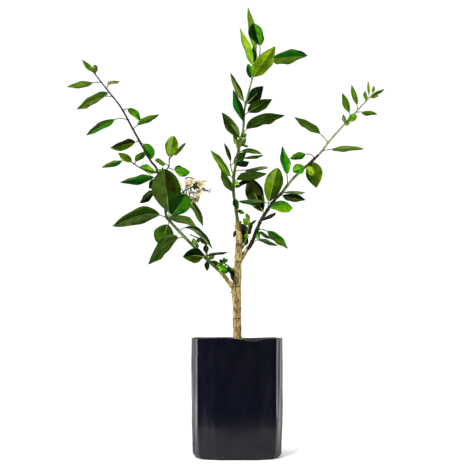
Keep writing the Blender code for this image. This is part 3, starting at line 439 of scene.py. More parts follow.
class Look:
    """A material's node tree, with short calls for what most looks need."""

    def __init__(self, name):
        self.material = bpy.data.materials.new(name + "_look")
        self.material.use_nodes = True
        self.add = functools.partial(add_node, self.material.node_tree)
        self.place = self.add("TexCoord", "Object")

    def finish(self, colour, roughness, specular, **others):
        """Gives the shader its values and links, and gives back the material."""
        sockets = {"Base Color": colour, "Roughness": roughness, "Specular IOR Level": specular, **others}
        tree = self.material.node_tree
        fill_sockets(tree, tree.nodes["Principled BSDF"], sockets)
        return self.material

    def stretched(self, upright):
        return self.add("Mapping", "Vector", Scale=(1.0, 1.0, upright), Vector=self.place)

    def noise(self, scale, detail=3.0, place=None, roughness=0.55):
        place = place or self.place
        return self.add("TexNoise", "Fac", Scale=scale, Detail=detail, Roughness=roughness, Vector=place)

    def mix(self, first, second, share):
        return self.add("Mix", "Result", Factor=share, A=first, B=second)

    def cells(self, scale, place=None):
        return self.add("TexVoronoi", "Distance", Scale=scale, Vector=place or self.place)

    def ramp(self, factor, stops):
        colour = self.add("ValToRGB", "Color", Fac=factor)
        elements = colour.node.color_ramp.elements
        while len(elements) < len(stops):
            elements.new(0.5)
        for element, (place, shade) in zip(elements, stops):
            element.position = place
            element.color = (*shade, 1.0)
        return colour

    def spread(self, factor, low, high):
        """Spreads most of a noise's values evenly from low to high."""
        return self.add("MapRange", "Result", Value=factor, From_Min=MOST_NOISE[0], From_Max=MOST_NOISE[1],
                        To_Min=low, To_Max=high)

    def towards_floor(self, value, height, at_floor):
        """The value, which changes evenly below a height to another one at the floor."""
        up = self.add("SeparateXYZ", "Z", Vector=self.place)
        nearness = self.add("MapRange", "Result", From_Min=height, From_Max=0.0, Value=up)
        return self.mix(value, at_floor, nearness)

    def bump(self, height, strength, distance, **under):
        return self.add("Bump", "Normal", Strength=strength, Distance=distance, Height=height, **under)


def leaf_material(name, *colour):
    """A waxy blade: a little darker and lighter in patches, with fine pores and a soft gloss."""
    look = Look(name)
    base = linear(colour)
    warm = (base[0] * 1.35, base[1] * 1.12, base[2] * 0.9)
    stops = ((0.33, scaled(base, 0.68)), (0.5, base), (0.68, scaled(warm, 1.15)))
    pores = look.bump(look.cells(1500.0), 0.12, 0.0003)
    roughness, specular = UNDER_GLOSS if name == "under" else LEAF_GLOSS
    rough = look.spread(look.noise(160.0, 2.0), *roughness)
    return look.finish(look.ramp(look.noise(95.0, 5.0), stops), rough, specular,
                       Normal=look.bump(look.noise(420.0), 0.22, 0.0008, Normal=pores))


def bark_material(name, light, dark):
    """Bark in lighter and darker patches, with cracks that run along the limb, and small pores."""
    look = Look(name)
    light, dark = linear(light), linear(dark)
    patches = look.noise(62.0, 3.0, look.stretched(0.45))
    grain = look.noise(290.0, 5.0, look.stretched(0.28 if name in ("bark", "umber") else 0.6), 0.7)
    stops = ((0.36, scaled(dark, 0.6)), (0.44, dark), (0.53, light), (0.66, scaled(light, 1.25)))
    pores = look.bump(look.cells(260.0, look.stretched(1.6)), 0.3, 0.0008)
    return look.finish(look.ramp(look.mix(grain, patches, 0.25), stops), look.spread(grain, 0.75, 0.95), 0.15,
                       Normal=look.bump(grain, 0.8, 0.0025, Normal=pores))


def blossom_material(name, colour, roughness):
    look = Look(name)
    base = linear(colour)
    colour = look.ramp(look.noise(700.0), ((0.3, scaled(base, 0.86)), (0.65, scaled(base, 1.06))))
    rough = look.spread(look.noise(900.0), roughness - 0.08, roughness + 0.08)
    return look.finish(colour, rough, 0.5, Subsurface_Weight=0.12, Subsurface_Scale=0.002,
                       Normal=look.bump(look.noise(1600.0), 0.15, 0.0004))


def film_material(name, clean, dusty):
    """Black planter film: glossy, duller towards the foot, with fine creases, a breath of dust and scuffs."""
    look = Look(name)
    dust = look.noise(38.0, 6.0, look.stretched(0.45), 0.65)
    creases = look.noise(95.0, 4.0, look.stretched(0.2), 0.6)
    scuffs = look.bump(look.noise(600.0), 0.12, 0.0005)
    rough = look.towards_floor(look.spread(look.noise(120.0, 4.0), 0.13, 0.26), 0.09, 0.6)
    return look.finish(look.ramp(dust, ((0.45, clean), (0.8, dusty))), rough, 0.28,
                       Normal=look.bump(creases, 0.3, 0.002, Normal=scuffs))


def mix_material(name):
    """Potting mix: crumbs of bark and peat from near black to rust brown."""
    look = Look(name)
    crumb = look.noise(240.0, 6.0, roughness=0.7)
    stops = ((0.32, (0.006, 0.004, 0.003)), (0.5, (0.028, 0.016, 0.009)), (0.66, (0.075, 0.042, 0.022)),
             (0.8, (0.16, 0.1, 0.055)))
    return look.finish(look.ramp(crumb, stops), look.spread(crumb, 0.85, 1.0), 0.5,
                       Normal=look.bump(crumb, 0.9, 0.002))


@functools.cache
def made_material(tone):
    """The material of a tone, made once."""
    for tones, make in ((LEAF_TONES, leaf_material), (BARK_TONES, bark_material),
                        (BLOSSOM_TONES, blossom_material), (FILM_TONES, film_material)):
        if tone in tones:
            return make(tone, *tones[tone])
    return mix_material(tone)


def noise(points, size, seed, octaves=2):
    """Smooth random values from about -1 to 1, with waves about as long as this size."""
    table = np.random.default_rng(seed).uniform(-1, 1, 8192)
    points = np.asarray(points, float)
    total, weight = np.zeros(points.shape[:-1]), 1.0
    for _ in range(octaves):
        cell = np.floor(points / size).astype(np.int64)
        part = points / size - cell
        part = part * part * (3 - 2 * part)
        for corner in np.ndindex(2, 2, 2):
            key = (cell + corner) * (73856093, 19349663, 83492791)
            key = (key[..., 0] ^ key[..., 1] ^ key[..., 2]) % len(table)
            total += weight * table[key] * np.prod(np.where(corner, part, 1 - part), axis=-1)
        size, weight = size * 0.5, weight * 0.5
    return total


def unit(vectors):
    return vectors / np.maximum(np.linalg.norm(vectors, axis=-1, keepdims=True), 1e-9)


def put(name, data, place=(0, 0, 0), aim=None):
    """Puts an object into the scene, turned towards its aim if it has one."""
    made = bpy.data.objects.new(name, data)
    made.location = place
    if aim:
        made.rotation_mode = "QUATERNION"
        made.rotation_quaternion = (Vector(aim) - Vector(place)).to_track_quat("-Z", "Y")
    bpy.context.scene.collection.objects.link(made)
    return made


class Skin:
    """Points, faces and the tone of each face, gathered for one piece."""

    def __init__(self):
        self.points = []
        self.faces = []
        self.tones = []
        self.count = 0

    def loft(self, rings, tones):
        """A closed skin over rings of points. The tones are one name, or one for each face, ring by ring."""
        rings = np.asarray(rings, float)
        rows, around = rings.shape[:2]
        places = self.count + np.arange(rows * around).reshape(rows, around)
        turned = np.roll(places, -1, axis=1)
        sides = np.stack([places[:-1], turned[:-1], turned[1:], places[1:]], axis=-1).reshape(-1, 4)
        ends = [places[0, ::-1], places[-1]]
        self.faces += [tuple(face.tolist()) for face in [*sides, *ends]]
        tones = [tones] * len(sides) if isinstance(tones, str) else tones
        self.tones += [*tones, tones[0], tones[0]]
        self.points.append(rings.reshape(-1, 3))
        self.count += rows * around

    def sheet(self, middle, normal, thick, tones):
        """A thin closed skin on both sides of rows of points."""
        thick = normal[:, None] * thick[..., None]
        self.loft(np.concatenate([middle + thick, (middle - thick)[:, ::-1]], axis=1), tones)

    def piece(self, name, slot, nodes, crisp=60.0):
        mesh = bpy.data.meshes.new(name)
        mesh.from_pydata((np.concatenate(self.points) * MM).tolist(), [], self.faces)
        used = sorted(set(self.tones))
        for tone in used:
            mesh.materials.append(made_material(tone))
        mesh.polygons.foreach_set("material_index", [used.index(tone) for tone in self.tones])
        mesh.shade_smooth()
        mesh.set_sharp_from_angle(angle=radians(crisp))
        made = put(name, mesh)
        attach(made, "root")
        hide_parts(*nodes)


def curve_points(knots):
    """A smooth centreline through the knots."""
    knots = np.asarray(knots, float)
    knots = np.vstack([2 * knots[0] - knots[1], knots, 2 * knots[-1] - knots[-2]])
    line = []
    for a, b, c, d in zip(knots, knots[1:], knots[2:], knots[3:]):
        for step in range(CURVE_STEPS):
            t = step / CURVE_STEPS
            line.append(0.5 * (2 * b + (c - a) * t + (2 * a - 5 * b + 4 * c - d) * t**2
                               + (3 * b - a - 3 * c + d) * t**3))
    line.append(knots[-2])
    return np.array(line)


def distances(line):
    return np.concatenate([[0.0], np.cumsum(np.linalg.norm(np.diff(line, axis=0), axis=1))])


def points_at(line, places):
    """The points at these distances along a centreline; past its ends it runs on straight."""
    run = distances(line)
    inside = np.clip(places, 0.0, run[-1])
    points = np.stack([np.interp(inside, run, line[:, i]) for i in range(3)], axis=-1)
    first, last = unit(line[1] - line[0]), unit(line[-1] - line[-2])
    beyond = np.asarray(places) - inside
    return points + np.where(beyond[..., None] < 0, first, last) * beyond[..., None]


def limb_radius(limb, line):
    """Maps distances along a limb to its radius."""
    if limb == "leader":
        heights, radii = zip(*LEADER_RADII)
        return lambda places: np.interp(points_at(line, places)[..., 2], heights, radii)
    return taper(distances(line)[-1], LEFT_RADII if limb == "left" else RIGHT_RADII)


def taper(reach, radii=(TWIG_RADIUS, TWIG_TIP_RADIUS)):
    """Maps distances to a radius that goes evenly through these."""
    return lambda places: np.interp(np.clip(places / reach, 0, 1), np.linspace(0, 1, len(radii)), radii)


def stalk_tones(names, rings, seed):
    """The bark of each face of a stem: the tones follow one another along it, and meet on a ragged line."""
    names = [BARK_OF.get(name, name) for name in names.split()]
    rings = np.asarray(rings)
    shares = (np.arange(len(rings) - 1) + 0.5) / (len(rings) - 1)
    ragged = 0.35 * noise(rings[:-1] * (1, 1, 0.3), 3.0, seed, 3)
    pick = np.clip(shares[:, None] * len(names) + ragged, 0, len(names) - 1).astype(int)
    return [names[p] for p in pick.ravel()]


def grow_tube(skin, line, start, end, radius, tones, sides, spacing, relief=None, tip=False, seed=1):
    """A tapering tube whose surface a relief moves in or out."""
    rows = max(3, int((end - start) / spacing) + 1)
    places = np.linspace(start, end, rows)
    centres = points_at(line, places)
    along = unit(points_at(line, places + 2.0) - points_at(line, places - 2.0))
    sizes = radius(places)
    side = np.array((1.0, 0.0, 0.0))
    rings = []
    turns = tau * np.arange(sides) / sides
    for centre, direction, size in zip(centres, along, sizes):
        side = unit(side - direction * side.dot(direction))
        other = np.cross(direction, side)
        out = np.cos(turns)[:, None] * side + np.sin(turns)[:, None] * other
        ring = centre + out * size
        if relief is not None:
            ring = ring + out * relief(ring, out)[:, None]
        rings.append(ring)
    tones = stalk_tones(tones, rings, seed)
    if tip:
        last = rings[-1] - centres[-1]
        for share, narrow in TIP_RINGS:
            rings.append(centres[-1] + along[-1] * share * sizes[-1] + last * narrow)
            tones += [tones[-1]] * sides
    skin.loft(rings, tones)


def grow_egg(skin, centre, along, length, width, tones, rows=9, sides=10, point=0.0, lumps=0.0, seed=3):
    """A rounded body on this axis, more pointed at its far end as `point` grows."""
    along = unit(np.asarray(along, float))
    side = unit(np.cross(along, (0.3, 0.9, 0.4)))
    other = np.cross(along, side)
    turns = tau * np.arange(sides) / sides
    rings = []
    for share in np.linspace(0.02, 0.98, rows):
        swell = sin(pi * share ** (1 - 0.35 * point))
        swell *= 1 - point * 0.35 * share
        ring = centre + along * length * (share - 0.5) + 0.5 * width * swell * (
            np.cos(turns)[:, None] * side + np.sin(turns)[:, None] * other)
        if lumps:
            ring = ring + unit(ring - centre) * (lumps * noise(ring, 2.5, seed))[:, None]
        rings.append(ring)
    skin.loft(rings, tones)


def heading(aim, lean):
    """Directions of something that points this way as seen from the front."""
    turn, out = np.radians(aim), np.radians(lean)
    turn, out = np.broadcast_arrays(turn, out)
    return np.stack([np.cos(out) * np.cos(turn), -np.sin(out), np.cos(out) * np.sin(turn)], axis=-1)


def leaf_frames(leaf, shares, swing, twist):
    """Directions, width directions and upper sides of a leaf at these shares of its length, and its size."""
    side = 1 if cos(radians(leaf.aim)) < 0 else -1
    haste = 1 + STALK_HASTE * leaf.stalk
    bent = 1 - (1 - shares) ** haste
    aim = leaf.aim + side * leaf.bend * (bent - haste / (haste + 1))
    most = max(-MOST_LEAN, min(MOST_LEAN, leaf.lean * DEPTH_SPREAD))
    along = heading(aim, most + swing * (shares - 0.5))
    upper = heading(aim - side * 90, 0)
    upper = unit(upper - along * np.sum(upper * along, axis=-1, keepdims=True))
    front = np.cross(along, upper) * side
    length = leaf.span / cos(radians(most))
    width = max(abs(leaf.breadth), WIDTH_TO_LENGTH * length)
    face = asin(leaf.breadth / width) + radians(twist) * (shares - FACE_SHARE)
    normal = upper * np.cos(face)[:, None] + front * np.sin(face)[:, None]
    return along, np.cross(along, normal), normal, length, width


def leaf_line(leaf, root, swing, twist, shares):
    """The points of a leaf's midline at these shares of its length."""
    fine = np.linspace(0, 1, LINE_STEPS + 1)
    along, _, _, length, _ = leaf_frames(leaf, (fine[1:] + fine[:-1]) / 2, swing, twist)
    run = np.vstack([np.zeros(3), np.cumsum(along * length / LINE_STEPS, axis=0)])
    return np.asarray(root) + np.stack([np.interp(shares, fine, run[:, i]) for i in range(3)], axis=-1)


def shaded(tone, steps):
    """The tone some steps along its own row of shades, from dark to light."""
    row = next((shades for shades in SHADES if tone in shades), (tone,))
    return row[int(np.clip(row.index(tone) + steps, 0, len(row) - 1))]


def blade_tones(look, first_half, own):
    """Maps a place across a blade, from -1 to 1, and one along it to the tone there."""
    # the look's two tones go to the blade's two halves: painted light on one half, painted shade on the other
    halves = look.split()
    parts = {
        (half, margin, tip): shaded(halves[half * (len(halves) - 1)], own.choice(SHADE_STEPS))
        for half in (0, 1) for margin in (0, 1) for tip in (0, 1)
    }

    def tone(across, share):
        lower = (across > 0) != first_half
        return parts[int(lower), int(abs(across) > MARGIN_FROM), int(share > TIP_FROM + 0.12 * across)]
    return tone


def grow_leaf(skin, leaf, root, rule, own):
    """A leaf in its own outline: arched halves, waved margins, quilted veins, a raised midrib and a stalk."""
    swing = rule.uniform(-SWING, SWING)
    twist = rule.uniform(-TWIST, TWIST)
    fold = tan(radians(rule.uniform(*FOLD)))
    half_way = leaf_frames(leaf, np.array([0.55]), swing, twist)
    length, width = half_way[3:]
    blade = length * (1 - leaf.stalk)
    rows = int(np.clip(blade / ROW_LENGTH, *ROWS))
    ease = np.linspace(0, 1, rows)
    ease = 0.5 * ease + 0.5 * (1 - np.cos(pi * ease)) / 2
    shares = leaf.stalk + (1 - leaf.stalk) * ease
    centre = leaf_line(leaf, root, swing, twist, shares)
    along, across, normal = leaf_frames(leaf, shares, swing, twist)[:3]
    widest, fullness = BLUNT_SHAPE if leaf.blunt else (BLADE_WIDEST, BLADE_FULLNESS)
    half = 0.5 * width * np.maximum(np.sin(pi * np.clip(ease, 1e-6, 1 - 1e-6) ** widest), 0) ** fullness
    ragged = np.array([own.uniform(-OUTLINE_VARIES, OUTLINE_VARIES) for _ in range(rows)])
    half = np.maximum(half * (1 + ragged), LEAST_HALF)[:, None]
    v = COLUMNS[None, :]
    off = np.abs(v)
    arch = own.uniform(*ARCH)
    calm = min(1.0, width / WAVED_FROM) * min(1.0, EDGE_ON_CALM * abs(leaf.breadth) / width)
    waves = [(own.uniform(*WAVES), own.uniform(0, tau), own.uniform(*MARGIN_WAVE)) for _ in range(2)]
    rise = fold * half * (np.sqrt(v * v + 0.01) - 0.1) - arch * half * v**2
    for sign, (count, phase, size) in zip((-1, 1), waves):
        lift = size * width * calm * np.sin(tau * count * ease + phase) * np.sin(pi * ease)
        rise = rise + lift[:, None] * np.where(v * sign > 0, off**2.2, 0)
    veins = (ease[:, None] * blade - VEIN_SLANT * off * half) / VEIN_SPACING
    between = np.clip(off * 6, 0, 1) * np.clip((1 - off) * 5, 0, 1)
    quilt = np.abs(np.sin(pi * veins)) ** 0.6 * between
    rise = rise + QUILTING * min(1.0, width / QUILTED_FROM) * (quilt - 0.5)
    surface = centre[:, None] + across[:, None] * (half * v)[..., None] + normal[:, None] * rise[..., None]
    thick = 0.5 * BLADE_THICKNESS * (1 - 0.6 * off) * np.minimum(1, half / 2)
    seen_on_top = half_way[2][0, 1] < 0
    sideways = half_way[1][0]
    look, plus, _ = leaf.look.partition("+")
    tone_at = blade_tones(look, sideways[2] - 0.5 * sideways[0] > 0, own)
    middles = (COLUMNS[1:] + COLUMNS[:-1]) / 2
    tones = []
    for share in (ease[1:] + ease[:-1]) / 2:
        shown = [tone_at(place, share) for place in middles]
        hidden = ["under" if seen_on_top else "moss"] * len(middles)
        upper, lower = (shown, hidden[::-1]) if seen_on_top else (hidden, shown[::-1])
        tones += upper + [upper[-1]] + lower + [upper[0]]
    skin.sheet(surface, normal, thick, tones)
    # stalk and midrib: one fine tube that sinks into the blade towards its tip
    rib_stations = leaf.stalk + (RIB_ENDS_AT - leaf.stalk) * np.linspace(0.04, 1, RIB_RINGS)
    stations = np.concatenate([np.linspace(0, leaf.stalk, STALK_RINGS), rib_stations])
    middle = leaf_line(leaf, root, swing, twist, stations)
    along, across, normal = leaf_frames(leaf, stations, swing, twist)[:3]
    thickness = np.where(stations < leaf.stalk, 1.0, 0.28 + 0.72 * (1 - stations) / (1 - leaf.stalk))
    thickness = thickness * min(1.0, 0.5 + length / 90)
    thickness[0] *= STALK_FOOT_SWELLS
    turns = tau * np.arange(RIB_SIDES) / RIB_SIDES
    ring = np.cos(turns)[:, None] * across[:, None] + 0.9 * np.sin(turns)[:, None] * normal[:, None]
    rib = "rib" if plus or abs(leaf.breadth) > RIB_SHOWS_FROM else tone_at(0.01, 0.3)
    stalk = "mossbark" if leaf.stalk > LONG_STALK else "shoot"
    tones = [stalk if i < STALK_RINGS - 1 else rib for i in range(len(stations) - 1) for _ in turns]
    skin.loft(middle[:, None] + ring * thickness[:, None, None], tones)
    return along[0]


def grow_petal(skin, start, axis, out, spread, size, own):
    """A thick petal that rises from the cup and rolls back at its tip, flushed on its outer side."""
    rows, columns = 12, (-1.0, -0.7, -0.35, 0.0, 0.35, 0.7, 1.0)
    v = np.array(columns)[None, :]
    shares = np.linspace(0, 1, rows)
    bend = radians(spread) * (0.3 + 0.75 * shares + PETAL_ROLL * shares**3) + own.uniform(-0.1, 0.1)
    along = axis * np.cos(bend)[:, None] + out * np.sin(bend)[:, None]
    middle = start + np.vstack([np.zeros(3), np.cumsum(along[:-1] * size / (rows - 1), axis=0)])
    across = unit(np.cross(axis, out))
    normal = np.cross(along, across)
    half = 0.5 * size * PETAL_FULL_WIDTH * np.maximum(np.sin(pi * (0.16 + 0.8 * shares)), 0.05) ** 0.7
    cup = 0.3 * half[:, None] * v**2
    petal = middle[:, None] + across * (half[:, None] * v)[..., None] + normal[:, None] * cup[..., None]
    thick = 0.5 * (1 - 0.5 * np.abs(v))
    tones = []
    for share in shares[1:]:
        tones += ["petal"] * len(columns)
        tones += ["plum" if share > 0.86 else "blush" if share > 0.62 else "petal"] * len(columns)
    skin.sheet(petal, normal, thick, tones)


def grow_bloom(skin, bloom, root, rule, own):
    """A flower with petals, a ring of stamens and a pistil, or a bud, on its stalk."""
    axis = heading(bloom.aim, bloom.lean)
    centre = root + axis * bloom.reach
    stalk = np.array([root, centre])
    grow_tube(skin, stalk, 0.0, bloom.reach, lambda p: 0.75 + 0.3 * p / bloom.reach, "shoot", 8, 1.5)
    side = unit(np.cross(axis, (0.2, 0.9, 0.35)))
    other = np.cross(axis, side)
    if bloom.spread == 0:
        width = bloom.size * BUD_WIDTH_TO_LENGTH
        middle = centre + axis * (0.5 * bloom.size - 1.5)
        tones = ["blush" if row >= BUD_BLUSHED_FROM else "petal"
                 for row in range(BUD_ROWS - 1) for _ in range(BUD_SIDES)]
        grow_egg(skin, middle, axis, bloom.size, width, tones, BUD_ROWS, BUD_SIDES, 0.4)
        grow_egg(skin, centre - axis * 0.4, axis, 3.4, width * 0.62, "cup", 7, 10)
        return
    grow_egg(skin, centre + axis * 0.6, axis, 5.0, 4.2, "cup", 7, 10)
    phase = rule.uniform(0, tau)

    def outwards(turn):
        return side * cos(turn) + other * sin(turn)
    for k in range(PETALS):
        out = outwards(phase + tau * k / PETALS)
        spread = bloom.spread + rule.uniform(-PETAL_SPREAD_VARIES, PETAL_SPREAD_VARIES)
        grow_petal(skin, centre, axis, out, spread, bloom.size, own)
    for k in range(STAMENS):
        out = outwards(tau * k / STAMENS)
        reach = bloom.size * own.uniform(0.45, 0.6)
        tip = centre + axis * reach + out * own.uniform(1.8, 3.4)
        line = np.array([centre + out * 1.5, centre + axis * reach * 0.6 + out * 2.0, tip])
        grow_tube(skin, line, 0.0, distances(line)[-1], lambda p: 0.42 + 0 * p, "filament", 5, 2.0)
        grow_egg(skin, tip, axis + 0.3 * out, 2.3, 1.3, "anther", 5, 6)
    grow_egg(skin, centre + axis * 3.0, axis, 4.0, 2.6, "cup", 6, 8)
    grow_egg(skin, centre + axis * bloom.size * 0.5, axis, 2.2, 2.2, "anther", 6, 8)


def stem_relief(size, seed):
    """Fine grain and the low ridges of young wood."""
    return lambda ring, out: size * noise(ring * (1, 1, 0.5), 1.6, seed)


def scar(points, out, k, height):
    """How far points lie above an old leaf scar, which runs a little aslant, and how much it shows there."""
    place = points[:, 2] + 1.5 * sin(2.4 * k) * out[:, 0] - height
    return place, 0.55 + 0.45 * np.cos(np.arctan2(out[:, 1], out[:, 0]) - 2.2 * k)


def trunk_relief(ring, out):
    """Long fibres, pores, old leaf scars round the stem and low swellings."""
    moved = 0.5 * noise(ring * (1, 1, 0.16), 3.6, 11) + 0.25 * noise(ring, 1.6, 12)
    moved = moved + 0.6 * noise(ring, 14.0, 13)
    for k, (height, rise) in enumerate(NODE_RINGS):
        place, side = scar(ring, out, k, height)
        ridge, groove = np.exp(-((place / 1.5) ** 2)), np.exp(-((place + 2.2) ** 2))
        moved = moved + rise * side * (ridge - 0.4 * groove)
    return moved


# The centreline of each limb
LINES = {"leader": curve_points(LEADER), "left": curve_points(LEFT_LIMB), "right": curve_points(RIGHT_LIMB)}


def knot(limb, index):
    """How far along its limb a knot lies."""
    return distances(LINES[limb])[index * CURVE_STEPS]


def build_trunk():
    """The bark of the trunk and of the three boughs, each a piece of its own."""
    line = LINES["leader"]
    size = limb_radius("leader", line)
    skin = Skin()
    end = knot("leader", TRUNK_END) + OVERLAP
    grow_tube(skin, line, TRUNK_FROM, end, size, "bark", 56, 0.9, trunk_relief)
    middles = np.array([skin.points[0][list(face[:4])].mean(axis=0) for face in skin.faces])
    axis = points_at(line, middles[:, 2] - SOIL_TOP)
    out = unit((middles - axis) * (1, 1, 0))
    umber = (middles[:, 2] > ROUGH_FROM) & (noise(middles * (1, 1, 0.4), 3.4, 17) > 0.03)
    for k, (height, _) in enumerate(NODE_RINGS):
        place, side = scar(middles, out, k, height)
        umber |= (np.abs(place + 1.6) < 0.8) & (side > 0.72)
    for face in np.flatnonzero(umber):
        skin.tones[face] = "umber"
    for k, (x, y, z, wide, tall, tone) in enumerate(SNAGS):
        centre = np.array((x, y, z), float)
        grow_egg(skin, centre, (0.15, -0.1, 1), 2 * tall, 2 * wide, tone, 18, 22, 0.2, 1.3, 20 + k)
    skin.piece("trunk_bark", "bark", ["trunk"])
    skin = Skin()
    start, end = knot("leader", TRUNK_END) - OVERLAP, knot("leader", CENTRE_BOUGH_END)
    grow_tube(skin, line, start, end, size, "bark umber moss", 32, 0.9, stem_relief(0.3, 21))
    skin.piece("centre_bough_bark", "bark", ["centre_bough"])
    # the right bough's far end takes the near-black night bark: painted shade
    for limb, bark in (("left", "bark straw moss"), ("right", "bark bark night")):
        skin = Skin()
        plain = limb_radius(limb, LINES[limb])

        def flared(places, plain=plain):
            return plain(places) * (1 + (BOUGH_COLLAR - 1) * np.clip(1 - places / COLLAR_LENGTH, 0, 1))
        end = knot(limb, SIDE_BOUGH_END)
        grow_tube(skin, LINES[limb], 0.0, end, flared, bark, 32, 0.9, stem_relief(0.3, 22))
        skin.piece(limb + "_bough_bark", "bark", [limb + "_bough"])


def shoots_of(mass):
    """The stem of a mass and its twigs, as (line, start, end, radius, runs on, leaves, blooms, bark)."""
    if mass.limb:
        line = LINES[mass.limb]
        start, end = knot(mass.limb, mass.start) + 0.3, knot(mass.limb, mass.end)
        size = limb_radius(mass.limb, line)
    else:
        line = curve_points(mass.shoot)
        start, end = 0.0, distances(line)[-1]
        size = taper(end)
    runs_on = bool(mass.limb) and mass.end * CURVE_STEPS < len(line) - 1
    shoots = [(line, start, end, size, runs_on, mass.leaves, mass.blooms, mass.bark)]
    for twig in mass.twigs:
        root = points_at(line, start + (end - start) * twig.at)
        side_line = curve_points((root, *twig.bends))
        reach = distances(side_line)[-1]
        shoots.append((side_line, 0.0, reach, taper(reach), False, twig.leaves, (), twig.bark))
    return shoots


def build_mass(mass):
    """The mass's stems, leaves and blossom, each kind a piece of its own, grown by the solids' rule."""
    rule = random.Random(mass.name)
    own = random.Random(mass.name + " detail")
    stems, leaves, blossom = Skin(), Skin(), Skin()
    shoots = shoots_of(mass)
    for k, (line, start, end, radius, runs_on, rows, blooms, bark) in enumerate(shoots):
        rows = [Leaf(*row) for row in rows]
        last = end - (STEM_END_KEPT_BARE if runs_on else ROOT_SUNK)
        length = end - start
        places = [min(max(start + length * leaf.at, start + ROOT_SUNK), last) for leaf in rows]
        nodes = np.array(places)

        def knotted(where, nodes=nodes, radius=radius):
            bumps = np.exp(-(((where[:, None] - nodes[None, :]) / KNOT_LENGTH) ** 2)).max(axis=1)
            return radius(where) * (1 + KNOT_RISE * bumps)
        before, after = OVERLAP if mass.limb and not k else 0.0, 0.0 if runs_on else 0.4
        relief = stem_relief(0.13, 30 + k)
        grow_tube(stems, line, start - before, end + after, knotted, bark, 18, 1.1, relief, not runs_on)
        for leaf, place in zip(rows, places):
            root = points_at(line, place)
            pointing = grow_leaf(leaves, leaf, root, rule, own)
            along = unit(points_at(line, place + 1) - points_at(line, place - 1))
            out = unit(pointing - along * pointing.dot(along))
            bud = root + out * (float(radius(np.array([place]))[0]) + 0.5) + along * 2.0
            grow_egg(stems, bud, along + 0.6 * out, 3.0, 1.7, "mossbark", 6, 8, 0.6)
        for bloom in map(Bloom._make, blooms):
            grow_bloom(blossom, bloom, points_at(line, min(start + length * bloom.at, last)), rule, own)
    for number, *row in mass.fill:
        leaf = Leaf(*row)
        line, start, end = shoots[number][:3]
        grow_leaf(leaves, leaf, points_at(line, start + (end - start) * leaf.at), own, own)
    line, start, end = shoots[0][:3]
    for bloom in map(Bloom._make, mass.finer):
        grow_bloom(blossom, bloom, points_at(line, start + (end - start) * bloom.at), own, own)
    for knots in mass.curls:
        curl = curve_points(knots)
        reach = distances(curl)[-1]
        size = taper(reach, (1.3, 0.7))
        grow_tube(blossom, curl, 0.0, reach, size, "plum", 8, 1.0, tip=True)
    for kind, skin in (("twigs", stems), ("leaves", leaves), ("blossom", blossom)):
        if skin.count:
            skin.piece(f"{mass.name}_{kind}", "foliage", [mass.name])


def bag_half(height):
    """Half of the bag's outer width at a height."""
    widened = min(1.0, height / BAG_FULL_WIDTH_FROM)
    half = 0.5 * (BAG_FOOT_WIDTH + (BAG_WIDTH - BAG_FOOT_WIDTH) * widened)
    short = max(0.0, BAG_FOOT_ROUNDING - height)
    return half - BAG_FOOT_ROUNDING + sqrt(BAG_FOOT_ROUNDING**2 - short**2)


def bag_ring(height, half, sides=BAG_SIDES):
    """A ring round the filled bag: slightly bulging sides that meet in soft creases."""
    turns = tau * np.arange(sides) / sides
    c, s = np.cos(turns), np.sin(turns)
    near, far = np.maximum(np.abs(c), np.abs(s)), np.minimum(np.abs(c), np.abs(s))
    reach = half * np.min([share / (near + slope * far) for slope, share in BAG_SIDE_FACETS], axis=0)
    return np.stack([reach * c, reach * s, np.full(sides, float(height))], axis=-1), turns


def build_bag():
    """The film bag: pressed out by the potting mix, creased along its corners, thin and wavy at the rim."""
    heights = BAG_HEIGHT * np.concatenate([[0.0, 0.004, 0.012, 0.025], np.linspace(0.045, 1.0, BAG_ROWS)])
    outer, inner = [], []
    for height in heights:
        ring, turns = bag_ring(height, bag_half(height))
        x, y = ring[:, 0], ring[:, 1]
        out = unit(ring * (1, 1, 0))
        share = height / BAG_HEIGHT
        wave = RIM_WAVE * sum(part * np.sin(count * turns + phase) for part, count, phase in RIM_WAVES)
        dip = RIM_DIP * np.exp(-(((x - RIM_DIP_AT) / RIM_DIP_WIDTH) ** 2)) * (y < 0)
        slump = RIM_SLUMP * np.clip(y / BAG_WIDTH + 0.25, 0, 0.5)
        ring[:, 2] += (wave - dip - slump) * np.clip((share - 0.85) / 0.15, 0, 1)
        loose = np.clip((share - 0.04) / 0.1, 0, 1)
        dents = 1.1 * noise(ring * (1, 1, 0.4), 34.0, 41) + 0.5 * noise(ring * (1, 1, 0.22), 11.0, 42, 3)
        folds = sum(size * np.exp(-(((x - place - lean * (share - 0.5)) / wide) ** 2)) * (y * face > 0)
                    for place, face, wide, size, lean in FILM_FOLDS)
        move = np.clip(loose * (dents - 0.9) + folds, -DEEPEST_DENT, 0.25)
        ring = ring + out * move[:, None]
        outer.append(ring)
        inner.append(ring - out * FILM_THICKNESS)
    inner = [ring + (0, 0, FILM_THICKNESS * (k < 3)) for k, ring in enumerate(inner)]
    rings = outer + inner[::-1]
    count = BAG_SIDES * (len(rings) - 1)
    outside = BAG_SIDES * len(outer)
    skin = Skin()
    # the film's inner side is painted light grey: a painted reflection of light from above on the black film
    skin.loft(rings, ["film" if face < outside else "film_inside" for face in range(count)])
    skin.piece("bag_film", "pot_film", ["pot"], 50.0)


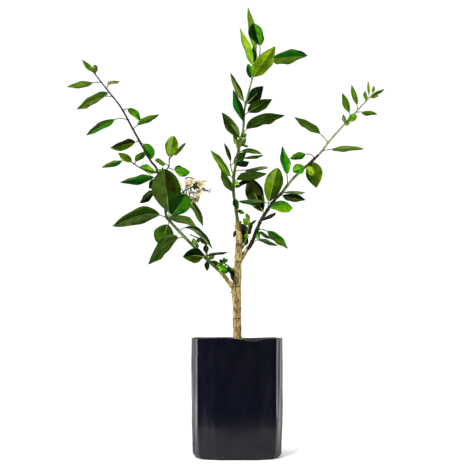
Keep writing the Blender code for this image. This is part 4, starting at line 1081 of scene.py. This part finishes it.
def build_soil():
    """The potting mix: a crumbly top with loose bits of bark, dipping a little to the bag's wall."""
    rule = np.random.default_rng(5)
    skin = Skin()
    rings = []
    for height in (FILM_THICKNESS + 0.3, 4.0, 12.0, 60.0, 120.0, 180.0, SOIL_TOP - 3):
        rings.append(bag_ring(height, bag_half(height) - SOIL_INSET - 1, SOIL_SIDES)[0])
    for share in np.linspace(1.0, 0.02, 64):
        ring = bag_ring(SOIL_TOP, (bag_half(SOIL_TOP) - SOIL_INSET) * share, SOIL_SIDES)[0]
        rough = 1.6 * noise(ring, 16.0, 51, 3) + 0.9 * noise(ring, 3.0, 52, 2)
        ring[:, 2] += rough * min(1.0, share * 3) - 1.6 * share**4
        rings.append(ring)
    skin.loft(rings, "mix")
    half = bag_half(SOIL_TOP) - SOIL_INSET - 2
    for _ in range(CRUMBS):
        x, y = rule.uniform(-half, half, 2)
        if (abs(x) / half) ** 4 + (abs(y) / half) ** 4 > 0.92 or hypot(x, y) < CLEAR_OF_TRUNK:
            continue
        size = rule.uniform(*CRUMB_SIZES)
        centre = np.array((x, y, SOIL_TOP + 0.2 - 1.2 * (hypot(x, y) / half) ** 4))
        lying = (rule.uniform(-1, 1), rule.uniform(-1, 1), rule.uniform(-0.25, 0.25))
        length = size * rule.uniform(1.0, 2.2)
        grow_egg(skin, centre, lying, length, size, "mix", 5, 6, 0.3, 0.5, int(rule.integers(1, 40)))
    skin.piece("soil_mix", "potting_mix", ["soil"], 45.0)


def build_stage():
    """A plain pale floor, soft light from all round that is strongest above and behind, and soft lamps."""
    look = Look("floor")
    pale = ((0.2, (0.86, 0.86, 0.86)), (0.8, (0.9, 0.9, 0.9)))
    mesh = bpy.data.meshes.new("floor")
    front, back, side = FLOOR_REACH
    corners = [(-side, -front, 0), (side, -front, 0), (side, back, 0), (-side, back, 0)]
    mesh.from_pydata(corners, [], [(0, 1, 2, 3)])
    colour = look.ramp(look.noise(3.0), pale)
    mesh.materials.append(look.finish(colour, 0.7, 0.2))
    floor = put("floor", mesh)

    world = bpy.data.worlds.new("studio")
    bpy.context.scene.world = world
    world.use_nodes = True
    tree = world.node_tree
    place = add_node(tree, "TexCoord", "Generated")
    strength = None
    for axis, start, end, low, high in WORLD_PARTS:
        along = add_node(tree, "SeparateXYZ", axis, Vector=place)
        part = add_node(tree, "MapRange", "Result", Value=along, From_Min=start, From_Max=end,
                        To_Min=low, To_Max=high)
        part.node.interpolation_type = "SMOOTHSTEP"
        if strength:
            larger = tree.nodes.new("ShaderNodeMath")
            larger.operation = "MAXIMUM"
            tree.links.new(strength, larger.inputs[0])
            tree.links.new(part, larger.inputs[1])
            part = larger.outputs["Value"]
        strength = part
    fill_sockets(tree, tree.nodes["Background"], {"Strength": strength, "Color": (1, 1, 1, 1)})

    for name, place, (wide, tall), power in LIGHTS:
        lamp = bpy.data.lights.new(name, "AREA")
        lamp.energy = power
        lamp.shape = "RECTANGLE"
        lamp.size, lamp.size_y = wide, tall
        put(name, lamp, place, LAMP_AIM)


def build_camera():
    lens = bpy.data.cameras.new("camera")
    lens.sensor_width = 36.0
    lens.lens = CAMERA_LENS
    bpy.context.scene.camera = put("camera", lens, CAMERA_AT, CAMERA_AIM)


def main():
    build_camera()
    build_stage()
    build_bag()
    build_soil()
    build_trunk()
    for mass in MASSES:
        build_mass(mass)
    bpy.context.scene.view_settings.view_transform = "Standard"


main()
